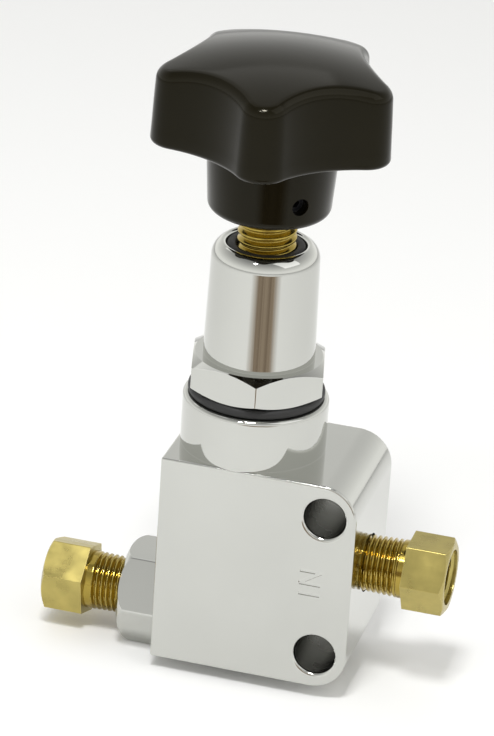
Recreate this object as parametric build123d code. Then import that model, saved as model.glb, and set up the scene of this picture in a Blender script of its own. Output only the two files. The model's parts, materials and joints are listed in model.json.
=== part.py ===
from build123d import *
import os
from math import cos, pi, radians, sin, sqrt, tan

# Adjustable proportioning valve, in millimetres.
# Origin: centre of the two-hole mounting pattern, on the back face of the body.
# +X points out of the inlet port, +Y out of the back face, +Z up along the adjuster stem.

# --- Clearances ---
RUNNING_GAP = 0.06          # radial, between a turning or sliding piece and its bore
ASSEMBLY_GAP = 0.05         # radial, between pieces that are screwed or pushed together
REST_GAP = 0.05             # axial, between pieces that move against each other

# --- Body block and boss ---
BODY_WIDTH = 34.5
BODY_DEPTH = 25.2
BODY_HEIGHT = 38.0
BODY_CORNER_R = 6.1         # the two corners beside the mounting holes
BODY_EDGE_R = 0.4
STEM_FROM_LEFT = 12.6       # left face to stem axis
BOSS_D = 25.0
BOSS_HEIGHT = 9.25
BOSS_EDGE_R = 0.8
MOUNT_HOLE_D = 7.1
MOUNT_INSET_X = 5.5         # right face to hole axis
MOUNT_INSET_Z = 6.1         # top and bottom faces to hole axes
MOUNT_HOLE_EDGE_R = 0.7     # at the front face only
OUTLET_FROM_BOTTOM = 5.9    # bottom face to outlet axis

# --- Bores along the stem axis ---
SPIGOT_D = 19.0             # bonnet spigot that screws into the boss
BODY_THREAD_DEPTH = 14.3    # boss top to the shoulder under the gland flange
MAIN_BORE_D = 13.1
SEAT_SHOULDER_RISE = 7.2    # outlet axis to the shoulder under the valve seat
CHAMBER_D = 9.0
CHAMBER_DROP = 3.5          # outlet axis to the chamber floor

# --- Ports ---
PORT_THREAD_D = 10.2
PORT_THREAD_PITCH = 0.941
PORT_TAPER = 1 / 32         # radius lost for each millimetre of thread
PORT_DEPTH = 7.0
INLET_PASSAGE_D = 4.0
OUTLET_PASSAGE_D = 5.0

# --- Brass adapters ---
ADAPTER_AF = 11.9
ADAPTER_HEX_LENGTH = 7.4
ADAPTER_ENGAGED = 5.0
INLET_THREAD_SHOWN = 7.1
OUTLET_THREAD_SHOWN = 6.8
THREAD_RUNOUT = 1.1
ADAPTER_BORE_D = 4.0
FLARE_PORT_D = 8.7          # minor diameter of the tube nut thread
FLARE_PORT_DEPTH = 7.2
FLARE_SEAT_D = 6.0
FLARE_SEAT_HEIGHT = 2.0
FLARE_RELIEF_D = 9.4        # thread relief around the flare seat
FLARE_RELIEF_RISE = 0.3     # relief's top above the seat's tip
FLARE_MOUTH_CHAMFER = 0.5
INLET_HEX_TURN = 0.0        # degrees about the port axis, 0 has flats above and below
OUTLET_HEX_TURN = 19.0

# --- Outlet plug ---
PLUG_AF = 16.4
PLUG_HEAD_LENGTH = 8.1
PLUG_EDGE_R = 2.6
PLUG_SPIGOT_LENGTH = 6.6
PLUG_PORT_DEPTH = 5.6
PLUG_SEAL_SECTION = 1.0
PLUG_SEAL_ID = 10.3

# --- Bonnet ---
BONNET_SEAL_OD = 23.4
BONNET_SEAL_WIDTH = 1.9
BONNET_SEAL_HEIGHT = 1.6
BONNET_AF = 22.2
BONNET_HEX_HEIGHT = 5.8
BONNET_HEX_TURN = 13.5      # degrees from straight ahead to the nearest hex corner
HEX_CHAMFER_ANGLE = 30.0
TUBE_BASE_D = 19.1
TUBE_TOP_D = 18.2
TUBE_LENGTH = 20.9
TUBE_CROWN_R = 3.0
BONNET_MOUTH_D = 13.5
BONNET_MOUTH_EDGE_R = 0.6
BONNET_MOUTH_DEPTH = 3.2
SPRING_CHAMBER_D = 13.5
STEM_THREAD_LENGTH = 6.0
BONNET_THREAD_PITCH = 1.5
BONNET_THREAD_LENGTH = 8.0

# --- Adjuster stem ---
STEM_D = 10.0
STEM_PITCH = 1.5
STEM_END_RELIEF = 3.4
SEAL_HEIGHT = 1.6
CLIP_OD = 12.4
CLIP_THICKNESS = 0.8
CLIP_GROOVE_DEPTH = 0.6

# --- Knob ---
HUB_GAP = 5.1               # bonnet crown to hub, with the adjuster half way
HUB_BOTTOM_D = 20.6
HUB_HEIGHT = 12.1
HUB_DRAFT = 4.0             # degrees
HUB_EDGE_R = 1.6
LOBE_COUNT = 5
LOBE_REACH = 20.7           # stem axis to a lobe's tip
LOBE_TIP_R = 4.6
VALLEY_R = 20.0
LOBE_TURN = 8.0             # degrees from straight ahead to the nearest lobe
KNOB_WALL = 12.4
KNOB_DRAFT = 2.0            # degrees
KNOB_CROWN = 3.8            # rise of the dome above the lobe tips
KNOB_TOP_EDGE_R = 2.2
KNOB_BOTTOM_EDGE_R = 1.0
INSERT_D = 13.0
INSERT_LENGTH = 15.0
SCREW_IN_KNOB = 12.0
SET_SCREW_D = 3.0
SET_SCREW_RISE = 4.4        # hub bottom to set screw axis
SET_SCREW_TURN = 43.0
SET_SCREW_RECESS = 2.0
SET_SCREW_SOCKET_AF = 1.5
SET_SCREW_SOCKET_DEPTH = 1.2

# --- Spring and seats ---
SPRING_OD = 12.0
WIRE_D = 1.8
SPRING_TURNS = 5
SPRING_LENGTH = 17.0
LOWER_SEAT_HEIGHT = 2.0
UPPER_SEAT_HEIGHT = 4.0
SEAT_PILOT_HEIGHT = 1.5
BALL_D = 4.0
BALL_SINK = 1.0             # how far the ball sits into the upper seat

# --- Gland, cage, seat and piston ---
GLAND_FLANGE_HEIGHT = 3.0
GLAND_BARREL_LENGTH = 7.5
GLAND_SEAL_SECTION = 1.2
GLAND_SEAL_DROP = 2.0       # flange underside to seal centre
POCKET_D = 9.4
POCKET_DEPTH = 3.5
BACKUP_HEIGHT = 1.2
LAND_D = 6.0
PISTON_STEM_D = 3.6
PISTON_HEAD_D = 7.6
PISTON_HEAD_HEIGHT = 1.8
PISTON_STROKE = 1.2
PISTON_TIP_D = 4.0
CAGE_WALL = 1.7
CAGE_GROOVE_HEIGHT = 5.0
CAGE_GROOVE_DEPTH = 0.8
CAGE_LIP = 1.0
CAGE_HOLE_D = 2.6
CAGE_HOLE_COUNT = 6
SEAT_HEIGHT = 2.5
SEAT_BORE_D = 5.2
SEAT_SEAL_D = 8.4
SEAT_SEAL_HEIGHT = 1.3
SEAT_SEAL_PROUD = 0.3

# --- Engraving ---
LETTER_HEIGHT = 3.7
LETTER_WIDTH = 3.0
LETTER_STROKE = 0.5
LETTER_SPACE = 1.3
LETTER_DEPTH = 0.15
ENGRAVING_RISE = 0.6        # inlet axis to the middle of the word
ENGRAVING_INSET = 7.2       # right face to the middle of the word

# --- Levels and places that follow from the sizes above ---
LEFT_X = MOUNT_INSET_X - BODY_WIDTH
RIGHT_X = MOUNT_INSET_X
FRONT_Y = -BODY_DEPTH
TOP_Z = BODY_HEIGHT / 2
STEM_X = LEFT_X + STEM_FROM_LEFT
STEM_Y = -BODY_DEPTH / 2
OUTLET_Z = OUTLET_FROM_BOTTOM - TOP_Z
BOSS_TOP_Z = TOP_Z + BOSS_HEIGHT
GLAND_SHOULDER_Z = BOSS_TOP_Z - BODY_THREAD_DEPTH
GLAND_TOP_Z = GLAND_SHOULDER_Z + GLAND_FLANGE_HEIGHT
GLAND_BOTTOM_Z = GLAND_SHOULDER_Z - GLAND_BARREL_LENGTH
SEAT_SHOULDER_Z = OUTLET_Z + SEAT_SHOULDER_RISE
SEAT_TOP_Z = SEAT_SHOULDER_Z + SEAT_HEIGHT
SEAT_SEAL_Z = SEAT_SHOULDER_Z - SEAT_SEAL_PROUD
CHAMBER_FLOOR_Z = OUTLET_Z - CHAMBER_DROP
HEAD_TOP_Z = SEAT_SEAL_Z - PISTON_STROKE
HEX_BOTTOM_Z = BOSS_TOP_Z + BONNET_SEAL_HEIGHT
HEX_TOP_Z = HEX_BOTTOM_Z + BONNET_HEX_HEIGHT
BONNET_TOP_Z = HEX_TOP_Z + TUBE_LENGTH
MOUTH_FLOOR_Z = BONNET_TOP_Z - BONNET_MOUTH_DEPTH
CHAMBER_TOP_Z = MOUTH_FLOOR_Z - STEM_THREAD_LENGTH
LOWER_SEAT_Z = GLAND_TOP_Z + REST_GAP
SPRING_BOTTOM_Z = LOWER_SEAT_Z + LOWER_SEAT_HEIGHT
SPRING_TOP_Z = SPRING_BOTTOM_Z + SPRING_LENGTH
UPPER_SEAT_TOP_Z = SPRING_TOP_Z + UPPER_SEAT_HEIGHT
BALL_Z = UPPER_SEAT_TOP_Z + BALL_D / 2 - BALL_SINK
STEM_BOTTOM_Z = UPPER_SEAT_TOP_Z + BALL_D / 4
CLIP_Z = STEM_BOTTOM_Z + 0.8
HUB_BOTTOM_Z = BONNET_TOP_Z + HUB_GAP
LOBE_BOTTOM_Z = HUB_BOTTOM_Z + HUB_HEIGHT
LOBE_TOP_Z = LOBE_BOTTOM_Z + KNOB_WALL
STEM_TOP_Z = HUB_BOTTOM_Z + SCREW_IN_KNOB
SET_SCREW_Z = HUB_BOTTOM_Z + SET_SCREW_RISE

FROM_BASE = (Align.CENTER, Align.CENTER, Align.MIN)


def on_stem(shape):
    """Move a shape modelled about Z to the stem axis."""
    return Pos(STEM_X, STEM_Y, 0) * shape


def on_port(shape, face_x, height, outward):
    """Turn a shape modelled about Z, with its port face at z = 0, to a port on a side face."""
    return Pos(face_x, STEM_Y, height) * Rot(0, 90 * outward, 0) * shape


def disc(diameter, bottom, top):
    """A round solid about Z between two heights."""
    return Pos(0, 0, bottom) * Cylinder(diameter / 2, top - bottom, align=FROM_BASE)


def turned(outline):
    """Turn an outline of (radius, height) points about Z."""
    profile = make_face(Plane.XZ * Polyline(*outline, close=True))
    return revolve(profile, Axis.Z)


def o_ring(inner_diameter, section, height):
    """A round-section ring about Z, with its middle at a height."""
    return Pos(0, 0, height) * Torus(inner_diameter / 2 + section / 2, section / 2)


def hexagon(across_flats, bottom, top, turn):
    """A hexagonal bar about Z; turn 0 has a corner on -Y."""
    shape = RegularPolygon(across_flats / 2, 6, major_radius=False, rotation=30)
    return Pos(0, 0, bottom) * Rot(0, 0, turn) * extrude(shape, top - bottom)


def chamfered_hexagon(across_flats, bottom, top, turn, chamfer_bottom):
    """A hexagonal bar with its corners turned off at the top, and at the bottom if asked."""
    corner_r = across_flats / sqrt(3)
    face_r = across_flats / 2 * 0.98
    drop = (corner_r - face_r) * tan(radians(HEX_CHAMFER_ANGLE))
    outline = [(0, top), (face_r, top), (corner_r, top - drop)]
    if chamfer_bottom:
        outline += [(corner_r, bottom + drop), (face_r, bottom), (0, bottom)]
    else:
        outline += [(corner_r, bottom), (0, bottom)]
    return hexagon(across_flats, bottom, top, turn) & turned(outline)


def thread_outline(radius, pitch, start, end, taper=0.0):
    """Crest and root points of a ridged cylinder from one height up to another."""
    count = int((end - start) / pitch)
    depth = pitch * 0.6
    crest = pitch * 0.12
    points = []
    for index in range(count):
        low = start + index * pitch
        here = radius + taper * (low - start)
        points += [
            (here - depth, low),
            (here, low + pitch / 2 - crest),
            (here, low + pitch / 2 + crest),
        ]
    last = start + count * pitch
    points.append((radius + taper * (last - start) - depth, last))
    return points


def body_block():
    """The rounded block, with its outline edges broken."""
    outline = Pos(LEFT_X + BODY_WIDTH / 2, 0) * Rectangle(BODY_WIDTH, BODY_HEIGHT)
    right_corners = outline.vertices().sort_by(Axis.X)[-2:]
    outline = fillet(right_corners, BODY_CORNER_R)
    block = Plane.XZ * extrude(outline, BODY_DEPTH)
    face_edges = block.faces().sort_by(Axis.Y)[0].edges() + block.faces().sort_by(Axis.Y)[-1].edges()
    return fillet(face_edges, BODY_EDGE_R)


def mounting_holes(block):
    """Drill the two mounting holes and round their front mouths."""
    for side in (-1, 1):
        height = side * (BODY_HEIGHT / 2 - MOUNT_INSET_Z)
        hole = Pos(0, 0, height) * Rot(90, 0, 0) * Cylinder(MOUNT_HOLE_D / 2, BODY_DEPTH, align=FROM_BASE)
        block -= hole
        mouths = [
            edge
            for edge in block.edges().filter_by(GeomType.CIRCLE)
            if abs(edge.radius - MOUNT_HOLE_D / 2) < 1e-3
            and abs(edge.arc_center.Y - FRONT_Y) < 1e-3
            and abs(edge.arc_center.Z - height) < 1e-3
        ]
        block = fillet(mouths, MOUNT_HOLE_EDGE_R)
    return block


def bar(start, end, width):
    """A straight stroke of the engraving, flat in XY."""
    run_x = end[0] - start[0]
    run_y = end[1] - start[1]
    length = sqrt(run_x**2 + run_y**2)
    across = (-run_y / length * width / 2, run_x / length * width / 2)
    corners = [
        (start[0] + across[0], start[1] + across[1]),
        (end[0] + across[0], end[1] + across[1]),
        (end[0] - across[0], end[1] - across[1]),
        (start[0] - across[0], start[1] - across[1]),
    ]
    return make_face(Polyline(*corners, close=True))


def engraving():
    """The inlet mark, as a shallow tool that reads upwards on the front face."""
    inner = LETTER_STROKE / 2
    word_length = LETTER_WIDTH + LETTER_SPACE + LETTER_STROKE
    letter_i = bar((inner, 0), (inner, LETTER_HEIGHT), LETTER_STROKE)
    left = LETTER_STROKE + LETTER_SPACE
    right = left + LETTER_WIDTH
    letter_n = bar((left + inner, 0), (left + inner, LETTER_HEIGHT), LETTER_STROKE)
    letter_n += bar((right - inner, 0), (right - inner, LETTER_HEIGHT), LETTER_STROKE)
    letter_n += bar((left + inner, LETTER_HEIGHT), (right - inner, 0), LETTER_STROKE)
    middle = Pos(-word_length / 2, -LETTER_HEIGHT / 2) * (letter_i + letter_n)
    flat = extrude(Rot(0, 0, 90) * middle, 2 * LETTER_DEPTH)
    upright = Rot(90, 0, 0) * flat
    return Pos(RIGHT_X - ENGRAVING_INSET, FRONT_Y + LETTER_DEPTH, ENGRAVING_RISE) * upright


def valve_body():
    """The block with its boss, stepped main bore, two ports and mounting holes."""
    block = mounting_holes(body_block())
    boss = disc(BOSS_D, TOP_Z - 2 * BODY_EDGE_R, BOSS_TOP_Z)
    boss = fillet(boss.edges().sort_by(Axis.Z)[-1], BOSS_EDGE_R)
    bores = disc(SPIGOT_D + 2 * ASSEMBLY_GAP, GLAND_SHOULDER_Z, BOSS_TOP_Z + 1)
    bores += disc(MAIN_BORE_D, SEAT_SHOULDER_Z, GLAND_SHOULDER_Z + 1)
    bores += disc(CHAMBER_D, CHAMBER_FLOOR_Z, SEAT_SHOULDER_Z + 1)
    port_d = PORT_THREAD_D + 2 * ASSEMBLY_GAP
    inlet = disc(port_d, -PORT_DEPTH, 1)
    inlet += disc(INLET_PASSAGE_D, STEM_X - RIGHT_X, 0)
    outlet = disc(port_d, -PORT_DEPTH, 1)
    outlet += disc(OUTLET_PASSAGE_D, LEFT_X - STEM_X, 0)
    solid = block + on_stem(boss)
    solid -= on_stem(bores)
    solid -= on_port(inlet, RIGHT_X, 0, 1)
    solid -= on_port(outlet, LEFT_X, OUTLET_Z, -1)
    return solid - engraving()


def adapter(thread_shown):
    """A brass tube adapter about Z: male pipe thread below its port face, hexagon above."""
    tip = -ADAPTER_ENGAGED
    hex_bottom = thread_shown
    hex_top = hex_bottom + ADAPTER_HEX_LENGTH
    large_r = PORT_THREAD_D / 2
    shank_end = hex_bottom - THREAD_RUNOUT
    small_r = large_r - PORT_TAPER * (shank_end - tip)
    outline = [(0, tip)] + thread_outline(small_r, PORT_THREAD_PITCH, tip, shank_end, PORT_TAPER)
    outline += [(large_r, shank_end), (large_r, hex_bottom), (0, hex_bottom)]
    shank = turned(outline)
    head = chamfered_hexagon(ADAPTER_AF, hex_bottom, hex_top, 0, False)
    return shank + head - flare_port(hex_top, tip)


def flare_port(mouth, tip):
    """The tool that opens the tube nut port and the bore behind its seat."""
    floor = mouth - FLARE_PORT_DEPTH
    port_r = FLARE_PORT_D / 2
    relief_r = FLARE_RELIEF_D / 2
    relief_top = floor + FLARE_SEAT_HEIGHT + FLARE_RELIEF_RISE
    bore_r = ADAPTER_BORE_D / 2
    outline = [
        (0, tip - 1),
        (bore_r, tip - 1),
        (bore_r, floor + FLARE_SEAT_HEIGHT),
        (FLARE_SEAT_D / 2, floor),
        (relief_r, floor),
        (relief_r, relief_top),
        (port_r, relief_top),
        (port_r, mouth - FLARE_MOUTH_CHAMFER),
        (port_r + FLARE_MOUTH_CHAMFER, mouth),
        (port_r + FLARE_MOUTH_CHAMFER, mouth + 1),
        (0, mouth + 1),
    ]
    return turned(outline)


def inlet_adapter():
    """The adapter in the right face."""
    piece = Rot(0, 0, INLET_HEX_TURN) * adapter(INLET_THREAD_SHOWN)
    return on_port(piece, RIGHT_X, 0, 1)


def outlet_adapter():
    """The adapter in the outlet plug."""
    piece = Rot(0, 0, OUTLET_HEX_TURN) * adapter(OUTLET_THREAD_SHOWN)
    return on_port(piece, LEFT_X - PLUG_HEAD_LENGTH, OUTLET_Z, -1)


def outlet_plug():
    """The hexagonal plug: ridged spigot into the body, adapter port in its head."""
    tip = -PLUG_SPIGOT_LENGTH
    corner_r = PLUG_AF / sqrt(3)
    ridges = thread_outline(PORT_THREAD_D / 2, PORT_THREAD_PITCH, tip, 0)
    solid = turned([(0, tip)] + ridges + [(ridges[-1][0], 0), (0, 0)])
    blank = disc(2 * corner_r, 0, PLUG_HEAD_LENGTH)
    blank = fillet(blank.edges().sort_by(Axis.Z)[-1], PLUG_EDGE_R)
    head = hexagon(PLUG_AF, 0, PLUG_HEAD_LENGTH, 0) & blank
    solid += head
    port_floor = PLUG_HEAD_LENGTH - PLUG_PORT_DEPTH
    solid -= disc(PORT_THREAD_D + 2 * ASSEMBLY_GAP, port_floor, PLUG_HEAD_LENGTH + 1)
    solid -= disc(OUTLET_PASSAGE_D, tip - 1, PLUG_HEAD_LENGTH)
    groove_d = PLUG_SEAL_ID + 2 * PLUG_SEAL_SECTION + 2 * ASSEMBLY_GAP
    solid -= disc(groove_d, 0, PLUG_SEAL_SECTION) - disc(PLUG_SEAL_ID, 0, PLUG_SEAL_SECTION)
    return on_port(solid, LEFT_X, OUTLET_Z, -1)


def outlet_plug_o_ring():
    """The seal in the groove under the plug's head."""
    return on_port(o_ring(PLUG_SEAL_ID, PLUG_SEAL_SECTION, PLUG_SEAL_SECTION / 2), LEFT_X, OUTLET_Z, -1)


def bonnet_o_ring():
    """The ring squeezed between the boss and the bonnet's hexagon."""
    middle_r = (BONNET_SEAL_OD - BONNET_SEAL_WIDTH) / 2
    section = RectangleRounded(BONNET_SEAL_WIDTH, BONNET_SEAL_HEIGHT, BONNET_SEAL_HEIGHT * 0.42)
    height = BOSS_TOP_Z + BONNET_SEAL_HEIGHT / 2
    return on_stem(revolve(Plane.XZ * Pos(middle_r, height) * section, Axis.Z))


def bonnet():
    """Hexagon, tapered tube with a rounded crown, and the spigot that screws into the boss."""
    spigot_r = SPIGOT_D / 2
    thread_end = GLAND_TOP_Z + BONNET_THREAD_LENGTH
    ridges = thread_outline(spigot_r, BONNET_THREAD_PITCH, GLAND_TOP_Z, thread_end)
    relief_r = spigot_r - 0.6 * BONNET_THREAD_PITCH
    outline = [(0, GLAND_TOP_Z)] + ridges + [(relief_r, HEX_BOTTOM_Z), (0, HEX_BOTTOM_Z)]
    solid = turned(outline)
    solid += chamfered_hexagon(BONNET_AF, HEX_BOTTOM_Z, HEX_TOP_Z, BONNET_HEX_TURN, True)
    tube = Pos(0, 0, HEX_TOP_Z) * Cone(TUBE_BASE_D / 2, TUBE_TOP_D / 2, TUBE_LENGTH, align=FROM_BASE)
    tube = fillet(tube.edges().sort_by(Axis.Z)[-1], TUBE_CROWN_R)
    mouth = disc(BONNET_MOUTH_D, MOUTH_FLOOR_Z, BONNET_TOP_Z + 1)
    tube -= mouth
    rim = [
        edge
        for edge in tube.edges().filter_by(GeomType.CIRCLE)
        if abs(edge.radius - BONNET_MOUTH_D / 2) < 1e-3 and edge.arc_center.Z > MOUTH_FLOOR_Z + 0.1
    ]
    tube = fillet(rim, BONNET_MOUTH_EDGE_R)
    solid += tube
    solid -= disc(STEM_D + 2 * RUNNING_GAP, CHAMBER_TOP_Z - 1, BONNET_TOP_Z)
    solid -= disc(SPRING_CHAMBER_D, GLAND_TOP_Z - 1, CHAMBER_TOP_Z)
    return on_stem(solid)


def stem_dust_seal():
    """The rubber ring in the bonnet's mouth, around the stem."""
    outer = disc(BONNET_MOUTH_D - 2 * ASSEMBLY_GAP, MOUTH_FLOOR_Z, MOUTH_FLOOR_Z + SEAL_HEIGHT)
    return on_stem(outer - disc(STEM_D + 2 * RUNNING_GAP, MOUTH_FLOOR_Z - 1, BONNET_TOP_Z))


def adjuster_screw():
    """The brass stem: ridged from its clip groove up into the knob's insert."""
    radius = STEM_D / 2
    plain_r = radius - CLIP_GROOVE_DEPTH
    thread_start = CLIP_Z + STEM_END_RELIEF
    outline = [(0, STEM_BOTTOM_Z), (radius, STEM_BOTTOM_Z), (radius, CLIP_Z), (plain_r, CLIP_Z)]
    outline += [(plain_r, CLIP_Z + CLIP_THICKNESS), (radius, CLIP_Z + CLIP_THICKNESS), (radius, thread_start)]
    ridges = thread_outline(radius, STEM_PITCH, thread_start, STEM_TOP_Z)
    outline += ridges + [(ridges[-1][0], STEM_TOP_Z), (0, STEM_TOP_Z)]
    dimple = Pos(0, 0, BALL_Z) * Sphere(BALL_D / 2 + REST_GAP)
    return on_stem(turned(outline) - dimple)


def stem_retaining_ring():
    """The open clip that stops the stem from being wound out of the bonnet."""
    outer = disc(CLIP_OD, CLIP_Z, CLIP_Z + CLIP_THICKNESS)
    bore_d = STEM_D - 2 * CLIP_GROOVE_DEPTH + 2 * ASSEMBLY_GAP
    ring = outer - disc(bore_d, CLIP_Z - 1, CLIP_Z + CLIP_THICKNESS + 1)
    opening = Pos(0, -CLIP_OD / 2, CLIP_Z) * Box(STEM_D * 0.6, CLIP_OD, 4 * CLIP_THICKNESS)
    return on_stem(ring - opening)


def knob_outline(reach):
    """Five round lobes joined by hollow flanks, as one closed face about Z."""
    step = 2 * pi / LOBE_COUNT
    centre_r = reach - LOBE_TIP_R
    half_span = centre_r * sin(step / 2)
    valley_centre = centre_r * cos(step / 2) + sqrt((VALLEY_R + LOBE_TIP_R) ** 2 - half_span**2)
    edges = []
    for index in range(LOBE_COUNT):
        here = index * step
        lobe = Vector(centre_r * sin(here), -centre_r * cos(here))
        after = Vector(centre_r * sin(here + step), -centre_r * cos(here + step))
        before_valley = Vector(valley_centre * sin(here - step / 2), -valley_centre * cos(here - step / 2))
        valley = Vector(valley_centre * sin(here + step / 2), -valley_centre * cos(here + step / 2))
        tip_start = lobe + (before_valley - lobe).normalized() * LOBE_TIP_R
        tip_end = lobe + (valley - lobe).normalized() * LOBE_TIP_R
        tip_middle = lobe + lobe.normalized() * LOBE_TIP_R
        next_start = after + (valley - after).normalized() * LOBE_TIP_R
        valley_middle = valley - valley.normalized() * VALLEY_R
        edges.append(ThreePointArc(tip_start, tip_middle, tip_end))
        edges.append(ThreePointArc(tip_end, valley_middle, next_start))
    return make_face(edges)


def knob_dome():
    """The round tool whose top is the crown of the knob."""
    sphere_r = (LOBE_REACH**2 + KNOB_CROWN**2) / (2 * KNOB_CROWN)
    ball = Pos(0, 0, LOBE_TOP_Z + KNOB_CROWN - sphere_r) * Sphere(sphere_r)
    return ball & disc(2.2 * LOBE_REACH, LOBE_BOTTOM_Z - 1, LOBE_TOP_Z + 2 * KNOB_CROWN)


def knob():
    """The lobed head on its tapered hub, bored for the insert and cross-drilled for the set screw."""
    head = Pos(0, 0, LOBE_BOTTOM_Z) * extrude(knob_outline(LOBE_REACH), KNOB_WALL + 2 * KNOB_CROWN, taper=KNOB_DRAFT)
    head = head & knob_dome()
    top_edges = head.edges().filter_by(lambda edge: edge.center().Z > LOBE_TOP_Z - KNOB_CROWN)
    crown_edges = [edge for edge in top_edges if not is_upright(edge)]
    head = fillet(crown_edges, KNOB_TOP_EDGE_R)
    base_edges = [edge for edge in head.edges() if abs(edge.bounding_box().max.Z - LOBE_BOTTOM_Z) < 1e-3]
    head = fillet(base_edges, KNOB_BOTTOM_EDGE_R)
    head = Rot(0, 0, LOBE_TURN) * head
    bottom_r = HUB_BOTTOM_D / 2
    top_r = bottom_r + HUB_HEIGHT * tan(radians(HUB_DRAFT))
    hub = Pos(0, 0, HUB_BOTTOM_Z) * Cone(bottom_r, top_r, HUB_HEIGHT, align=FROM_BASE)
    hub = fillet(hub.edges().sort_by(Axis.Z)[0], HUB_EDGE_R)
    solid = head + hub
    solid -= disc(INSERT_D, HUB_BOTTOM_Z - 1, HUB_BOTTOM_Z + INSERT_LENGTH)
    return on_stem(solid - set_screw_tool(SET_SCREW_D, STEM_D / 2, 2 * LOBE_REACH))


def is_upright(edge):
    """Whether an edge rises more than it runs."""
    box = edge.bounding_box().size
    return box.Z > max(box.X, box.Y)


def set_screw_tool(diameter, start, end):
    """A round bar on the set screw's axis, between two distances from the stem axis."""
    across = Pos(0, -start, SET_SCREW_Z) * Rot(90, 0, 0)
    return Rot(0, 0, SET_SCREW_TURN) * across * Cylinder(diameter / 2, end - start, align=FROM_BASE)


def knob_insert():
    """The brass bush moulded into the knob."""
    bush = disc(INSERT_D, HUB_BOTTOM_Z, HUB_BOTTOM_Z + INSERT_LENGTH)
    bush -= disc(STEM_D, HUB_BOTTOM_Z - 1, STEM_TOP_Z)
    return on_stem(bush - set_screw_tool(SET_SCREW_D, 0, 2 * INSERT_D))


def knob_set_screw():
    """The grub screw that locks the insert on the stem."""
    outer_r = HUB_BOTTOM_D / 2 + SET_SCREW_RISE * tan(radians(HUB_DRAFT)) - SET_SCREW_RECESS
    body = set_screw_tool(SET_SCREW_D, STEM_D / 2 + ASSEMBLY_GAP, outer_r)
    key = RegularPolygon(SET_SCREW_SOCKET_AF / 2, 6, major_radius=False)
    socket = extrude(key, SET_SCREW_SOCKET_DEPTH)
    place = Rot(0, 0, SET_SCREW_TURN) * Pos(0, -outer_r, SET_SCREW_Z) * Rot(-90, 0, 0)
    return on_stem(body - place * socket)


def thrust_ball():
    """The ball between the stem's end and the upper spring seat."""
    return on_stem(Pos(0, 0, BALL_Z) * Sphere(BALL_D / 2))


def upper_spring_seat():
    """The sliding cap that the stem pushes down on the spring."""
    guide_d = SPRING_CHAMBER_D - 2 * RUNNING_GAP
    cap = disc(guide_d, SPRING_TOP_Z, UPPER_SEAT_TOP_Z)
    pilot_d = SPRING_OD - 2 * WIRE_D - 0.4
    cap += disc(pilot_d, SPRING_TOP_Z - SEAT_PILOT_HEIGHT, SPRING_TOP_Z)
    cup = Pos(0, 0, BALL_Z) * Sphere(BALL_D / 2)
    return on_stem(cap - cup)


def lower_spring_seat():
    """The cap that passes the spring's load to the piston."""
    guide_d = SPRING_CHAMBER_D - 2 * RUNNING_GAP
    cap = disc(guide_d, LOWER_SEAT_Z, SPRING_BOTTOM_Z)
    pilot_d = SPRING_OD - 2 * WIRE_D - 0.4
    cap += disc(pilot_d, SPRING_BOTTOM_Z, SPRING_BOTTOM_Z + SEAT_PILOT_HEIGHT)
    return on_stem(cap - disc(PISTON_TIP_D, LOWER_SEAT_Z - 1, SPRING_BOTTOM_Z))


def main_spring():
    """The round-wire compression spring between the two seats."""
    coil_r = (SPRING_OD - WIRE_D) / 2
    rise = SPRING_LENGTH - WIRE_D - 2 * REST_GAP
    path = Helix(rise / SPRING_TURNS, rise, coil_r)
    start = path @ 0
    wire = Plane(origin=start, z_dir=path % 0) * Circle(WIRE_D / 2)
    coil = sweep(wire, path=path, is_frenet=True)
    return on_stem(Pos(0, 0, SPRING_BOTTOM_Z + REST_GAP + WIRE_D / 2) * coil)


def piston():
    """The poppet: head below the seat, slim stem, sealed land and the tip under the spring."""
    land_bottom = GLAND_BOTTOM_Z - CAGE_LIP - 2 * PISTON_STROKE
    outline = [
        (0, HEAD_TOP_Z - PISTON_HEAD_HEIGHT),
        (PISTON_HEAD_D / 2, HEAD_TOP_Z - PISTON_HEAD_HEIGHT),
        (PISTON_HEAD_D / 2, HEAD_TOP_Z),
        (PISTON_STEM_D / 2, HEAD_TOP_Z),
        (PISTON_STEM_D / 2, land_bottom),
        (LAND_D / 2, land_bottom),
        (LAND_D / 2, LOWER_SEAT_Z),
        (PISTON_TIP_D / 2, LOWER_SEAT_Z),
        (PISTON_TIP_D / 2, SPRING_BOTTOM_Z),
        (0, SPRING_BOTTOM_Z),
    ]
    return on_stem(turned(outline))


def piston_gland():
    """The flanged bush that guides the piston and carries its seals."""
    flange_d = SPIGOT_D - 2 * ASSEMBLY_GAP
    barrel_d = MAIN_BORE_D - 2 * ASSEMBLY_GAP
    bush = disc(flange_d, GLAND_SHOULDER_Z, GLAND_TOP_Z)
    bush += disc(barrel_d, GLAND_BOTTOM_Z, GLAND_SHOULDER_Z)
    bush -= disc(LAND_D + 2 * RUNNING_GAP, GLAND_BOTTOM_Z - 1, GLAND_TOP_Z + 1)
    bush -= disc(POCKET_D, GLAND_BOTTOM_Z - 1, GLAND_BOTTOM_Z + POCKET_DEPTH)
    seal_z = GLAND_SHOULDER_Z - GLAND_SEAL_DROP
    half = GLAND_SEAL_SECTION * 0.65
    root_d = barrel_d - 2 * GLAND_SEAL_SECTION
    groove = disc(barrel_d + 1, seal_z - half, seal_z + half) - disc(root_d, seal_z - half, seal_z + half)
    return on_stem(bush - groove)


def gland_o_ring():
    """The seal around the gland's barrel."""
    root_d = MAIN_BORE_D - 2 * ASSEMBLY_GAP - 2 * GLAND_SEAL_SECTION
    return on_stem(o_ring(root_d, GLAND_SEAL_SECTION, GLAND_SHOULDER_Z - GLAND_SEAL_DROP))


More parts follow.
